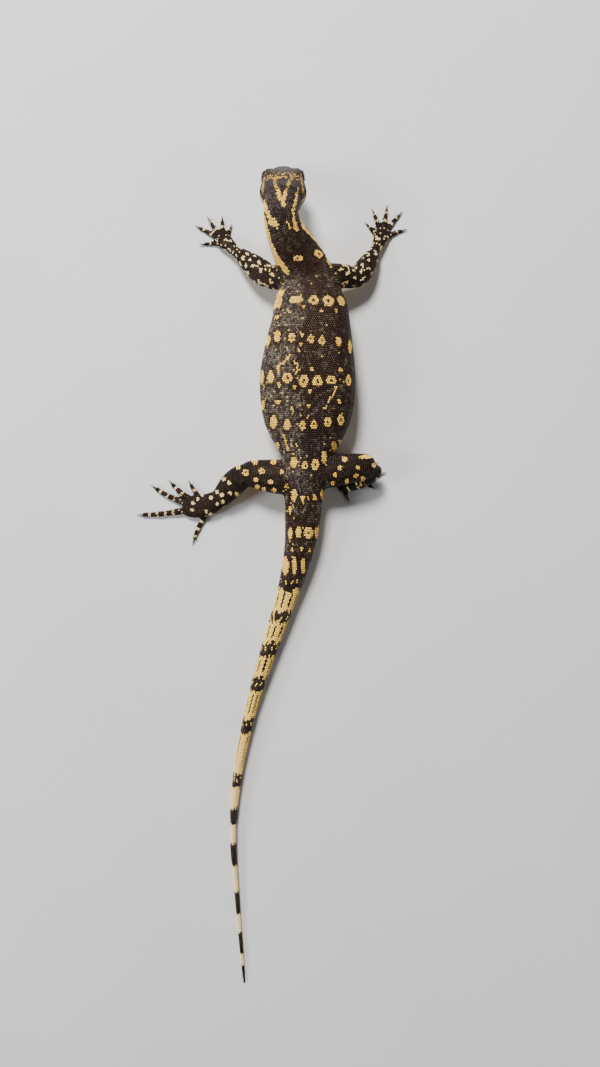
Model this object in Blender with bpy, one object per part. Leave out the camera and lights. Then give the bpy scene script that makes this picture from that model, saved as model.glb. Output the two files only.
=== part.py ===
"""Young water monitor lizard, life size, lying on its belly with its head lowered.

Sizes are in millimetres and the meshes in metres. The head points to -Y, the animal's
left side is +X, +Z is up, and the origin is on the flat under the belly, at floor level.
"""
import math

import bmesh
import bpy
from mathutils import Matrix, Vector

MM = 0.001
GAP = 0.3              # clearance between two pieces that meet
JOINT_DOME = 4.0       # length of the round end that a limb's next length fits over
DOME_RINGS = (0.06, 0.25, 0.58)
FLOOR_DIP = 0.5        # how far soft undersides are pressed flat by the floor
FLOOR_MIDDLE = (0.0, 100.0, -10.0)
FLOOR_SIZE = (400.0, 600.0, 20.0)

TRUNK_POWER = 2.25     # squareness of the trunk's cross-section, 2 being an ellipse
TRUNK_SIDES = 26
TAIL_SIDES = 18
TAIL_KEEL = 0.55       # height of the double crest along the top of the tail
KEEL_SPREAD = 22       # degrees round the tail that the crest takes up
KEEL_GROOVE = 7        # degrees that the groove between its two lines takes up
KEEL_STARTS_OVER = 40.0
KEEL_ENDS_OVER = 60.0
HEAD_SIDES = 40
LIMB_SIDES = 12
TOE_SIDES = 7
CLAW_SIDES = 5

HEAD_LENGTH = 36.0
HEAD_JOINT = Vector((11.6, -78.4, 28.0))
HEAD_PITCH = math.radians(43)
HEAD_TURN = math.radians(-1)
SNOUT_ROUND = 3.0
NAPE_BEND = 7.0        # length over which the neck turns into line with the head
HEAD_SWELLS = 1.35     # distance between two rings of the head

LIMB_RINGS = 8
LIMB_POWER = 2.1
NEAR_DOME = 0.7 * JOINT_DOME
END_DOME = 1.5
TOE_RINGS = 6
CLAW_RINGS = 5

EYE_RADIUS = 2.6
EYE_FROM_TIP = 16.5
EYE_OUT = 7.6
EYE_UP = 2.1
EYE_LEAN = Vector((0.2, 1.0, 0.2))     # the eye's axis: forwards, outwards, upwards
LID_LONG = 2.55        # half length and half height of the opening between the lids
LID_HIGH = 2.25
LID_BULGE = 2.4
LID_THICK = 0.22       # half thickness over the opening's half length
LID_OUT = 1.4          # how far the lids stand out of the eye's middle
BROW_HEIGHT = 1.2
BROW_LONG = 5.0
BROW_AT = 49           # degrees from the crown's middle to the top of the brow
CROWN_DIP = 0.45
MOUTH_LENGTH = 23.0
WEDGE_DEEP = 11.0      # reach of the block that parts the lower jaw, downwards and sideways
WEDGE_WIDE = 14.0
LIP_SWELL = 0.4
NOSTRIL_FROM_TIP = 4.4
NOSTRIL_LONG = 1.7
NOSTRIL_WIDE = 1.1
NOSTRIL_DEEP = 1.1
NOSTRIL_OUT = 0.86     # share of the snout's half width, and of its height over the widest level
NOSTRIL_UP = 0.62
EAR_FROM_TIP = 30.0
EAR_LONG = 3.8
EAR_WIDE = 2.7
EAR_DEEP = 1.5
EAR_OUT = 0.1
EAR_UP = 0.9

# Neck and body: centre x, y, half width, top and underside, from the nape to the hips.
NECK = (
    (11.9, -75.8, 29.5, 8.2, 6.6, 5.9),
    (12.3, -72.6, 30.2, 8.0, 6.8, 6.1),
    (12.3, -69.0, 29.2, 8.0, 7.2, 6.9),
    (10.5, -64.4, 26.5, 8.7, 7.6, 8.2),
    (7.3, -59.4, 22.9, 10.2, 8.2, 9.2),
    (4.1, -54.8, 19.4, 11.1, 8.8, 9.8),
)
BODY = (
    (0.4, -49.4, 16.2, 11.6, 9.8, 11.6),
    (-0.6, -44.6, 14.6, 13.4, 11.4, 12.6),
    (-0.8, -38.0, 13.3, 16.6, 13.0, 13.0),
    (-1.2, -28.0, 12.4, 18.5, 14.6, 12.8),
    (-0.5, -16.0, 12.0, 20.8, 16.0, 12.5),
    (0.2, -2.0, 12.0, 22.7, 16.2, 12.5),
    (0.3, 11.0, 11.8, 22.3, 15.8, 12.3),
    (0.5, 21.0, 11.3, 20.2, 14.7, 11.8),
    (0.3, 30.0, 10.8, 15.6, 13.0, 11.2),
    (0.3, 36.0, 10.5, 12.2, 11.7, 10.9),
    (0.5, 42.0, 10.2, 11.0, 10.7, 10.6),
    (2.0, 50.0, 9.7, 9.8, 9.7, 10.0),
)
TAIL = (
    (2.3, 60.0, 9.0, 8.9, 8.8, 9.3),
    (2.9, 70.0, 8.2, 8.2, 8.1, 8.5),
    (4.4, 81.0, 7.2, 7.1, 7.2, 7.5),
    (7.5, 93.4, 6.2, 5.9, 6.2, 6.5),
    (11.1, 105.7, 5.5, 4.9, 5.5, 5.8),
    (19.4, 130.3, 4.6, 3.9, 4.5, 4.9),
    (26.6, 154.0, 3.8, 3.0, 3.7, 4.1),
    (33.6, 186.0, 2.9, 2.3, 2.8, 3.2),
    (36.5, 217.0, 2.1, 1.65, 2.1, 2.4),
    (34.8, 247.0, 1.4, 1.15, 1.4, 1.7),
    (32.2, 279.0, 0.9, 0.85, 0.9, 1.1),
    (31.0, 293.0, 0.55, 0.5, 0.55, 0.7),
)
NECK_ENDS_AT = -53.5
BODY_ENDS_AT = 57.0
TAIL_CUTS_AT = (104.0, 158.0, 214.0)
LENGTHS = (("neck", 14), ("torso", 23), ("tail_1", 10), ("tail_2", 9), ("tail_3", 9), ("tail_4", 12))

# Head: distance from the snout's tip, half width, top, underside, widest level, squareness above.
HEAD = (
    (0.0, 3.8, 0.8, -3.3, -1.3, 2.4),
    (4.5, 5.3, 2.4, -4.1, -0.9, 2.5),
    (9.0, 6.5, 3.5, -4.7, -0.6, 2.8),
    (13.0, 8.0, 5.1, -5.2, -0.2, 3.6),
    (16.5, 9.1, 6.0, -5.8, 0.0, 3.8),
    (20.0, 9.8, 6.3, -6.3, -0.2, 3.2),
    (24.5, 10.6, 6.2, -6.8, -0.6, 2.6),
    (29.0, 10.9, 6.2, -7.1, -0.6, 2.4),
    (33.0, 9.9, 6.4, -6.7, -0.2, 2.3),
    (36.0, 8.7, 6.5, -6.1, 0.0, 2.25),
)
# Line of the mouth: distance from the tip, level.
MOUTH_LINE = ((-3.0, -1.9), (0.0, -1.9), (6.0, -1.7), (13.0, -2.1), (19.0, -2.9), (MOUTH_LENGTH, -2.9))

# Limbs: centre x, y, z, half width, half height, from the body outwards.
UPPER_ARM = {
    "left": ((2.5, -47.4, 14.5, 5.8, 6.0), (9.5, -48.4, 13.8, 6.0, 5.8),
             (15.5, -48.9, 11.2, 5.8, 5.2), (21.3, -48.3, 8.4, 4.9, 4.7)),
    "right": ((-3.5, -47.0, 14.5, 5.8, 6.0), (-10.5, -48.4, 13.8, 6.2, 5.7),
              (-17.5, -49.4, 11.0, 5.6, 5.0), (-24.6, -48.8, 8.2, 4.7, 4.5)),
}
FOREARM = {
    "left": ((17.2, -48.6, 9.8, 4.9, 4.6), (20.2, -50.8, 8.4, 5.9, 5.0), (24.6, -54.6, 7.2, 5.9, 4.6),
             (30.0, -59.6, 5.6, 4.3, 3.5), (35.2, -64.4, 4.0, 2.5, 2.3)),
    "right": ((-20.2, -48.6, 9.6, 4.8, 4.5), (-24.0, -50.4, 8.4, 5.2, 4.7), (-27.2, -54.8, 7.0, 5.1, 4.3),
              (-30.2, -60.0, 5.4, 3.9, 3.3), (-33.0, -65.2, 4.0, 2.5, 2.3)),
}
HAND = {
    "left": ((33.0, -61.4, 4.6, 2.5, 2.4), (37.2, -66.2, 3.2, 3.0, 2.2),
             (40.4, -69.2, 2.3, 3.9, 1.9), (42.0, -71.0, 1.8, 3.6, 1.5)),
    "right": ((-31.6, -62.4, 4.7, 2.5, 2.4), (-34.0, -67.6, 3.2, 3.0, 2.2),
              (-35.6, -72.0, 2.3, 3.9, 1.9), (-36.3, -74.2, 1.8, 3.6, 1.5)),
}
THIGH = {
    "left": ((1.5, 46.4, 11.2, 8.4, 7.6), (10.0, 46.2, 11.4, 8.5, 7.3),
             (19.0, 45.2, 11.0, 7.8, 6.5), (26.5, 44.3, 10.3, 6.6, 5.6), (32.6, 44.4, 9.2, 5.3, 4.9)),
    "right": ((-1.0, 44.5, 11.4, 8.0, 7.4), (-9.0, 43.4, 12.0, 7.9, 7.0),
              (-18.0, 42.2, 12.8, 7.2, 6.1), (-26.0, 41.2, 13.2, 6.4, 5.3), (-32.2, 41.0, 13.0, 5.2, 4.7)),
}
SHANK = {
    "left": ((27.6, 43.2, 9.9, 4.9, 4.8), (31.6, 45.4, 9.4, 6.0, 5.2), (36.2, 49.2, 8.2, 6.2, 4.7),
             (40.4, 53.8, 6.4, 5.4, 3.9), (44.2, 58.0, 4.8, 4.5, 3.2)),
    "right": ((-31.2, 40.4, 12.2, 4.6, 4.2), (-30.8, 42.6, 10.6, 4.8, 4.2), (-27.5, 45.6, 9.0, 4.6, 3.8),
              (-21.5, 48.2, 6.8, 4.0, 3.2), (-15.0, 49.8, 4.8, 3.5, 2.9)),
}
FOOT = {
    "left": ((41.6, 55.2, 5.8, 4.3, 3.2), (48.8, 58.8, 3.4, 5.6, 2.8),
             (56.0, 59.6, 2.2, 5.6, 2.2), (61.0, 59.8, 1.7, 4.2, 1.7)),
    "right": ((-17.6, 49.9, 5.4, 3.0, 2.6), (-15.6, 49.4, 3.6, 3.8, 2.7),
              (-20.4, 46.4, 2.1, 4.5, 2.0), (-24.0, 45.6, 1.6, 3.8, 1.6)),
}
# Toes: root x, y, bend sideways, claw tip x, y, radius at the root.
FINGERS = {
    "left": ((39.4, -70.4, 0.6, 36.6, -78.6, 1.35), (40.4, -71.0, 0.6, 41.8, -83.0, 1.4),
             (41.6, -71.0, 0.4, 49.4, -82.4, 1.4), (42.4, -70.2, -0.4, 55.4, -77.6, 1.4),
             (42.0, -68.4, -0.8, 53.4, -67.8, 1.3)),
    "right": ((-33.4, -72.6, -0.6, -27.4, -79.0, 1.35), (-34.8, -73.8, -0.6, -31.0, -86.0, 1.4),
              (-36.0, -74.2, -0.4, -38.6, -88.2, 1.4), (-37.4, -73.6, 0.4, -46.2, -84.6, 1.4),
              (-38.2, -71.6, 0.8, -48.8, -75.6, 1.3)),
}
TOES = {
    "left": ((52.0, 56.4, 0.4, 58.8, 45.9, 1.5), (56.6, 56.4, 0.8, 68.3, 46.1, 1.6),
             (59.4, 57.8, 1.0, 76.8, 48.8, 1.65), (59.8, 61.4, 0.7, 83.9, 63.6, 1.7),
             (48.8, 62.0, -1.0, 56.4, 78.7, 1.5)),
    "right": ((-17.6, 45.0, -0.3, -26.6, 38.6, 1.4), (-21.2, 44.2, -0.5, -34.2, 37.6, 1.5),
              (-23.0, 45.2, -0.8, -38.4, 42.6, 1.6), (-22.4, 47.0, 1.4, -33.6, 52.2, 1.6),
              (-16.4, 49.8, 0.8, -19.8, 58.4, 1.4)),
}
HAND_CLAW = 2.7
FOOT_CLAW = 3.0
CLAW_RADIUS = 0.62
CLAW_TIP = 0.18        # radius of a claw's end over its radius at the root
CLAW_ARCH = 0.28
TOE_END = 0.62         # radius of a toe's end over its radius at the root
KNUCKLE = 0.14         # swelling of a toe's joints
CLAW_DROP = 0.45       # height of a claw's tip above the floor
TOE_SINK = 1.5         # how fast a toe comes down from the foot, and a claw from its toe
CLAW_SINK = 1.6


for leftover in list(bpy.data.objects):
    bpy.data.objects.remove(leftover, do_unlink=True)

lizard = bpy.data.collections.new("water_monitor_lizard")
cutters = bpy.data.collections.new("cutters")
bpy.context.scene.collection.children.link(lizard)
bpy.context.scene.collection.children.link(cutters)


def finish(name, colour, roughness):
    material = bpy.data.materials.new(name)
    material.use_nodes = True
    shader = material.node_tree.nodes["Principled BSDF"]
    shader.inputs["Base Color"].default_value = (*colour, 1.0)
    shader.inputs["Roughness"].default_value = roughness
    shader.inputs["Metallic"].default_value = 0.0
    return material


SKIN = finish("scaly_skin", (0.035, 0.032, 0.03), 0.45)
EYE = finish("wet_eye", (0.02, 0.013, 0.008), 0.05)
HORN = finish("claw_horn", (0.045, 0.035, 0.028), 0.3)


def along(rows, at, column=0):
    """Smooth value of every column of a table where the given column reads `at`."""
    last = len(rows) - 2
    i = 0
    while i < last and rows[i + 1][column] < at:
        i += 1
    span = rows[i + 1][column] - rows[i][column]
    t = min(max((at - rows[i][column]) / span, 0.0), 1.0)
    values = []
    for c in range(len(rows[0])):
        a, b = rows[i][c], rows[i + 1][c]
        before = rows[max(i - 1, 0)]
        after = rows[min(i + 2, len(rows) - 1)]
        slope_a = (b - before[c]) / (rows[i + 1][column] - before[column]) * span
        slope_b = (after[c] - a) / (after[column] - rows[i][column]) * span
        hermite = (2 * t**3 - 3 * t**2 + 1) * a + (t**3 - 2 * t**2 + t) * slope_a
        values.append(hermite + (3 * t**2 - 2 * t**3) * b + (t**3 - t**2) * slope_b)
    return values


def with_distance(rows):
    """Put the distance walked along the centres in front of every row."""
    measured, walked = [], 0.0
    for i, row in enumerate(rows):
        if i:
            walked += (Vector(row[:3]) - Vector(rows[i - 1][:3])).length
        measured.append((walked, *row))
    return measured


def superellipse(angle, power):
    c, s = math.cos(angle), math.sin(angle)
    return (math.copysign(abs(c) ** (2 / power), c), math.copysign(abs(s) ** (2 / power), s))


def solid(name, rings, material):
    """Close a stack of rings into one body, with its faces pointing out."""
    mesh = bmesh.new()
    loops = [[mesh.verts.new(point * MM) for point in ring] for ring in rings]
    for near, far in zip(loops, loops[1:]):
        for j in range(len(near)):
            k = (j + 1) % len(near)
            mesh.faces.new((near[j], near[k], far[k], far[j]))
    for loop in (loops[0], loops[-1]):
        middle = mesh.verts.new(sum((v.co for v in loop), Vector()) / len(loop))
        for j in range(len(loop)):
            mesh.faces.new((loop[j], loop[(j + 1) % len(loop)], middle))
    bmesh.ops.recalc_face_normals(mesh, faces=mesh.faces)
    data = bpy.data.meshes.new(name)
    mesh.to_mesh(data)
    mesh.free()
    data.shade_smooth()
    data.materials.append(material)
    made = bpy.data.objects.new(name, data)
    lizard.objects.link(made)
    return made


def as_cutter(piece):
    lizard.objects.unlink(piece)
    cutters.objects.link(piece)
    piece.display_type = "WIRE"
    piece.hide_render = True
    return piece


def grown(piece, by=GAP):
    """A cutter that is the piece made thicker by the clearance all round."""
    mesh = bmesh.new()
    mesh.from_mesh(piece.data)
    mesh.normal_update()
    moves = [(v, v.normal * v.calc_shell_factor() * by * MM) for v in mesh.verts]
    for vertex, move in moves:
        vertex.co += move
    data = bpy.data.meshes.new(piece.name + "_clearance")
    mesh.to_mesh(data)
    mesh.free()
    cutter = bpy.data.objects.new(data.name, data)
    lizard.objects.link(cutter)
    return as_cutter(cutter)


def largest_surface(piece):
    mesh = bmesh.new()
    mesh.from_mesh(piece.data)
    bmesh.ops.dissolve_degenerate(mesh, dist=1e-6, edges=mesh.edges)
    waiting, shells = set(mesh.faces), []
    while waiting:
        shell, edge = set(), [waiting.pop()]
        while edge:
            face = edge.pop()
            shell.add(face)
            for side in face.edges:
                for other in side.link_faces:
                    if other in waiting:
                        waiting.discard(other)
                        edge.append(other)
        shells.append(shell)
    shells.sort(key=lambda shell: sum(face.calc_area() for face in shell), reverse=True)
    for shell in shells[1:]:
        bmesh.ops.delete(mesh, geom=list(shell), context="FACES")
    bmesh.ops.triangulate(mesh, faces=mesh.faces)
    mesh.to_mesh(piece.data)
    mesh.free()


def boolean(piece, others, operation):
    """Apply one Boolean with a collection of closed meshes and keep the largest surface."""
    tools = bpy.data.collections.new("tools")
    for other in others:
        tools.objects.link(other)
    step = piece.modifiers.new("boolean", "BOOLEAN")
    step.operation = operation
    step.operand_type = "COLLECTION"
    step.collection = tools
    step.solver = "EXACT"
    bpy.context.view_layer.update()
    result = bpy.data.meshes.new_from_object(piece.evaluated_get(bpy.context.evaluated_depsgraph_get()))
    piece.modifiers.clear()
    result.name = piece.name
    piece.data = result
    bpy.data.collections.remove(tools)
    largest_surface(piece)
    piece.data.shade_smooth()
    return piece


def remove(pieces):
    for piece in pieces:
        bpy.data.objects.remove(piece, do_unlink=True)


def floor_block():
    """All that lies under floor level, to press the soft undersides flat."""
    bpy.ops.mesh.primitive_cube_add(size=1.0, location=Vector(FLOOR_MIDDLE) * MM)
    block = bpy.context.active_object
    block.data.transform(Matrix.Diagonal((*(Vector(FLOOR_SIZE) * MM), 1.0)))
    return as_cutter(settle(block, "floor_cutter"))


def rounding(distance, length):
    """Factor that closes a tube's end as a dome of the given length."""
    if distance >= length:
        return 1.0
    return math.sqrt(max(1 - (1 - distance / length) ** 2, 0.0))


def ring_around(row, ahead, sides, power=2.0, shrink=1.0, crest=0.0):
    """A ring of points square to `ahead`, from a row of distance, centre and half sizes."""
    centre = Vector(row[1:4])
    side = ahead.cross(Vector((0, 0, 1))).normalized()
    up = side.cross(ahead).normalized()
    half_width, half_top = row[4], row[5]
    half_under = row[6] if len(row) > 6 else half_top
    points = []
    for j in range(sides):
        angle = 2 * math.pi * j / sides
        across, height = superellipse(angle, power)
        height *= half_top if height > 0 else half_under
        from_top = math.degrees(angle) - 90
        height += crest * math.exp(-(from_top / KEEL_SPREAD) ** 2)
        height -= 0.6 * crest * math.exp(-(from_top / KEEL_GROOVE) ** 2)
        points.append(centre + side * across * half_width * shrink + up * height * shrink)
    return points


def direction(rows, at):
    """The way that a limb's middle line runs at a distance along it."""
    step = 0.4
    low, high = max(at - step, rows[0][0]), min(at + step, rows[-1][0])
    return (Vector(along(rows, high)[1:4]) - Vector(along(rows, low)[1:4])).normalized()


def tube(name, rows, rings, sides, material, power=2.0, domes=(0.0, 0.0)):
    """A solid swept along the middles of its rows; each end is flat or a dome of a length."""
    rows = with_distance(rows)
    length = rows[-1][0]
    places = [length * i / (rings - 1) for i in range(rings)]
    for end, dome in enumerate(domes):
        if dome:
            places.pop(-end)
            places = sorted(places + [length - dome * part if end else dome * part for part in DOME_RINGS])
    stack = []
    for place in places:
        shrink = 1.0
        if domes[0]:
            shrink *= rounding(place, domes[0])
        if domes[1]:
            shrink *= rounding(length - place, domes[1])
        stack.append(ring_around(along(rows, place), direction(rows, place), sides, power, shrink))
    return solid(name, stack, material)


# Neck, body and tail are lengths of one sweep, with a thin clearance where they part.
HEAD_AXIS = Vector((-math.sin(HEAD_TURN) * math.cos(HEAD_PITCH),
                    -math.cos(HEAD_TURN) * math.cos(HEAD_PITCH), -math.sin(HEAD_PITCH)))
HEAD_SIDE = Vector((math.cos(HEAD_TURN), -math.sin(HEAD_TURN), 0.0))
HEAD_UP = HEAD_AXIS.cross(HEAD_SIDE)
nape = (*HEAD_JOINT, HEAD[-1][1], HEAD[-1][2], -HEAD[-1][3])
inside_head = (*(HEAD_JOINT + HEAD_AXIS * 10), HEAD[-1][1], HEAD[-1][2], -HEAD[-1][3])
SWEEP = with_distance((inside_head, nape) + NECK + BODY + TAIL)


def place_at(y):
    """Distance along the sweep where its centre crosses the given y."""
    low, high = 0.0, SWEEP[-1][0]
    while high - low > 0.001:
        middle = (low + high) / 2
        if along(SWEEP, middle)[2] < y:
            low = middle
        else:
            high = middle
    return low


def sweep_row(at):
    """Row of the sweep, averaged over a short way so that its bends stay round."""
    spots = [min(max(at + off, 0.0), SWEEP[-1][0]) for off in (-3.0, -1.5, 0.0, 1.5, 3.0)]
    rows = [along(SWEEP, spot) for spot in spots]
    return [sum(column) / len(rows) for column in zip(*rows)]


def sweep_direction(at):
    return (Vector(sweep_row(at + 1.0)[1:4]) - Vector(sweep_row(at - 1.0)[1:4])).normalized()


def trunk_length(name, start, end, rings, sides):
    tail_start = place_at(BODY_ENDS_AT)
    stack = []
    for i in range(rings):
        place = start + (end - start) * i / (rings - 1)
        rising = min(max((place - tail_start) / KEEL_STARTS_OVER, 0.0), 1.0)
        falling = min((SWEEP[-1][0] - place) / KEEL_ENDS_OVER, 1.0)
        ease = min((place - SWEEP[1][0]) / NAPE_BEND, 1.0)
        ahead = sweep_direction(place) * ease - HEAD_AXIS * (1 - ease)
        crest = TAIL_KEEL * rising * falling
        stack.append(ring_around(sweep_row(place), ahead.normalized(), sides, TRUNK_POWER, 1.0, crest))
    return solid(name, stack, SKIN)


def build_trunk():
    neck_start = SWEEP[1][0] + GAP / 2
    cuts = [place_at(y) for y in (NECK_ENDS_AT, BODY_ENDS_AT, *TAIL_CUTS_AT)]
    ends = [neck_start - GAP / 2, *cuts, SWEEP[-1][0] + GAP / 2]
    made = {}
    for i, (name, rings) in enumerate(LENGTHS):
        sides = TAIL_SIDES if name.startswith("tail") else TRUNK_SIDES
        made[name] = trunk_length(name, ends[i] + GAP / 2, ends[i + 1] - GAP / 2, rings, sides)
    return made


def head_point(from_tip, side, up):
    """World point of a place in the head: distance from the tip, to the left, upwards."""
    return HEAD_JOINT + HEAD_AXIS * (HEAD_LENGTH - from_tip) + HEAD_SIDE * side + HEAD_UP * up


def mouth_level(from_tip):
    return along(MOUTH_LINE, from_tip)[1]


def head_ring(from_tip):
    _, half_width, top, under, level, power = along(HEAD, from_tip)
    shrink = rounding(from_tip, SNOUT_ROUND)
    brow = math.exp(-((from_tip - EYE_FROM_TIP) / BROW_LONG) ** 2)
    lips = rounding(from_tip, SNOUT_ROUND) * min(max((MOUTH_LENGTH + 2 - from_tip) / 4, 0.0), 1.0)
    ring = []
    for j in range(HEAD_SIDES):
        angle = 2 * math.pi * j / HEAD_SIDES
        across, height = superellipse(angle, power if math.sin(angle) > 0 else 2.2)
        from_top = abs(math.degrees(angle) - 90)
        up = level + shrink * height * ((top - level) if height > 0 else (level - under))
        up += brow * (BROW_HEIGHT * math.exp(-((from_top - BROW_AT) / 14) ** 2)
                      - CROWN_DIP * math.exp(-(from_top / 22) ** 2))
        out = across * half_width * shrink
        lip = math.exp(-((up - mouth_level(from_tip)) / 1.1) ** 2)
        out += math.copysign(LIP_SWELL * lip * lips * abs(across), across)
        ring.append(head_point(from_tip, out, up))
    return ring


def oval_ball(name, centre, axes, radii):
    """An ellipsoid: its axes are world directions and its radii are given along them."""
    bpy.ops.mesh.primitive_uv_sphere_add(segments=16, ring_count=10, radius=1.0)
    ball = bpy.context.active_object
    frame = Matrix([axes[i] * radii[i] * MM for i in range(3)]).transposed().to_4x4()
    ball.data.transform(Matrix.Translation(centre * MM) @ frame)
    if frame.determinant() < 0:
        ball.data.flip_normals()
    return settle(ball, name)


def settle(made, name):
    """Give a fresh primitive its name and its place in the collection."""
    made.name = name
    made.data.name = name
    for home in list(made.users_collection):
        home.objects.unlink(made)
    lizard.objects.link(made)
    made.data.shade_smooth()
    return made


def lid_ring(name, centre, axis):
    """Upper and lower lid as one oval rim around the opening of an eye."""
    bpy.ops.mesh.primitive_torus_add(major_radius=1.0, minor_radius=LID_THICK,
                                     major_segments=20, minor_segments=6)
    rim = bpy.context.active_object
    long_way = (HEAD_AXIS - axis * HEAD_AXIS.dot(axis)).normalized()
    high_way = axis.cross(long_way)
    frame = Matrix([long_way * LID_LONG * MM, high_way * LID_HIGH * MM, axis * LID_BULGE * MM])
    frame = frame.transposed().to_4x4()
    rim.data.transform(Matrix.Translation(centre * MM) @ frame)
    return settle(rim, name)


def eye_axis(side):
    return (HEAD_SIDE * side * EYE_LEAN.y + HEAD_UP * EYE_LEAN.z + HEAD_AXIS * EYE_LEAN.x).normalized()


def nostril_cutter(side, name):
    _, half_width, top, _, level, _ = along(HEAD, NOSTRIL_FROM_TIP)
    at = head_point(NOSTRIL_FROM_TIP, side * half_width * NOSTRIL_OUT, level + (top - level) * NOSTRIL_UP)
    slant = (HEAD_AXIS * 0.9 - HEAD_UP * 0.3).normalized()
    outward = (HEAD_SIDE * side * 0.8 + HEAD_UP * 0.6).normalized()
    axes = (slant, outward, slant.cross(outward).normalized())
    return oval_ball(name, at, axes, (NOSTRIL_LONG / 2, NOSTRIL_DEEP, NOSTRIL_WIDE / 2))


def ear_cutter(side, name):
    _, half_width, _, _, level, _ = along(HEAD, EAR_FROM_TIP)
    at = head_point(EAR_FROM_TIP, side * (half_width + EAR_OUT), level + EAR_UP)
    lean = (HEAD_UP * 0.95 - HEAD_AXIS * 0.3).normalized()
    axes = (lean, HEAD_SIDE, lean.cross(HEAD_SIDE).normalized())
    return oval_ball(name, at, axes, (EAR_LONG / 2, EAR_DEEP, EAR_WIDE / 2))


def build_head():
    """Upper head and lower jaw, parted at the line of the mouth, and the two eyes."""
    places = [0.05, 0.35, 1.0, 2.0] + [3.2 + HEAD_SWELLS * i for i in range(23)]
    places += [34.4, HEAD_LENGTH - GAP / 2]
    head = solid("head", [head_ring(p) for p in places], SKIN)
    rims, hollows = [], []
    for side, name in ((1, "left"), (-1, "right")):
        centre = head_point(EYE_FROM_TIP, side * EYE_OUT, EYE_UP)
        axis = eye_axis(side)
        axes = (HEAD_AXIS, HEAD_SIDE, HEAD_UP)
        rims.append(lid_ring("lids_" + name, centre + axis * LID_OUT, axis))
        eye = oval_ball("eye_" + name, centre, axes, [EYE_RADIUS] * 3)
        eye.data.materials.append(EYE)
        hollows.append(as_cutter(oval_ball("socket_" + name, centre, axes, [EYE_RADIUS + GAP] * 3)))
        hollows.append(as_cutter(nostril_cutter(side, "nostril_" + name)))
        hollows.append(as_cutter(ear_cutter(side, "ear_" + name)))
    boolean(head, rims, "UNION")
    remove(rims)
    boolean(head, hollows, "DIFFERENCE")
    remove(hollows)
    jaw = head.copy()
    jaw.data = head.data.copy()
    jaw.name = "lower_jaw"
    lizard.objects.link(jaw)
    wedge, wider = jaw_wedge("jaw_wedge", 0.0), jaw_wedge("jaw_wedge_clearance", GAP)
    boolean(jaw, [wedge], "INTERSECT")
    boolean(head, [wider], "DIFFERENCE")
    remove((wedge, wider))


def jaw_wedge(name, clear):
    """A block under the line of the mouth, from the chin back to the corner of the jaw."""
    seam = (-3, 0, 2, 4, 7, 10, 13, 16, 19, 21, MOUTH_LENGTH + clear)
    outline = [(p, mouth_level(p) + clear) for p in seam]
    outline += [(MOUTH_LENGTH + 2.2 + clear, -WEDGE_DEEP), (-3.0, -WEDGE_DEEP)]
    rings = [[head_point(p, side, level) for p, level in outline] for side in (-WEDGE_WIDE, WEDGE_WIDE)]
    return as_cutter(solid(name, rings, SKIN))


def bent_route(root, bend, tip, end_share):
    """Points from a toe's root towards its tip, bowed sideways, up to a share of the way."""
    way = tip - root
    sideways = Vector((-way.y, way.x, 0)).normalized()
    route = []
    for part in (0.0, 0.2, 0.4, 0.6, 0.8, 1.0):
        t = part * end_share
        route.append(root + way * t + sideways * bend * math.sin(math.pi * t))
    return route


def build_digits(limb_name, digits, claw_length, root_height):
    """Toes or fingers of one foot, each with its claw; only the toes join the foot."""
    toes = []
    for number, (x, y, bend, tip_x, tip_y, radius) in enumerate(digits, 1):
        reach = math.hypot(tip_x - x, tip_y - y)
        share = 1 - (claw_length + GAP) / reach
        route = bent_route(Vector((x, y, 0)), bend, Vector((tip_x, tip_y, 0)), share)
        rows = []
        for i, point in enumerate(route):
            part = i / (len(route) - 1)
            size = radius * (1 - (1 - TOE_END) * part) * (1 + KNUCKLE * (i % 2))
            height = max(root_height * (1 - part) ** TOE_SINK, size - FLOOR_DIP / 2)
            rows.append((point.x, point.y, height, size, size))
        toes.append(tube(f"{limb_name}_{number}", rows, TOE_RINGS, TOE_SIDES, SKIN))
        end = Vector(rows[-1][:3])
        ahead = (Vector(rows[-1][:3]) - Vector(rows[-2][:3])).normalized()
        ahead.z = 0
        ahead.normalize()
        start = end + ahead * GAP
        claw_rows = []
        for part in (0.0, 0.25, 0.5, 0.75, 1.0):
            lift = CLAW_ARCH * math.sin(math.pi * part) - (end.z - CLAW_DROP) * part ** CLAW_SINK
            centre = start + ahead * claw_length * part + Vector((0, 0, lift))
            size = CLAW_RADIUS * (1 - (1 - CLAW_TIP) * part)
            claw_rows.append((*centre, size * 0.8, size))
        tube(f"claw_{limb_name}_{number}", claw_rows, CLAW_RINGS, CLAW_SIDES, HORN)
    return toes


def build_limb(side, parts, digits, claw_length, clearances, floor):
    """One leg from the body outwards; each length is cut clear of those it grows from."""
    nearer = list(clearances)
    for i, (name, rows) in enumerate(parts):
        last = i == len(parts) - 1
        domes = (NEAR_DOME if i else 0.0, END_DOME if last else JOINT_DOME)
        piece = tube(name, rows[side], LIMB_RINGS, LIMB_SIDES, SKIN, LIMB_POWER, domes)
        clearance = grown(piece)
        if last:
            toes = build_digits(name, digits[side], claw_length, rows[side][-1][2])
            boolean(piece, toes, "UNION")
            remove(toes)
        boolean(piece, nearer + [floor], "DIFFERENCE")
        nearer.append(clearance)
    remove(nearer[len(clearances):])


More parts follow.
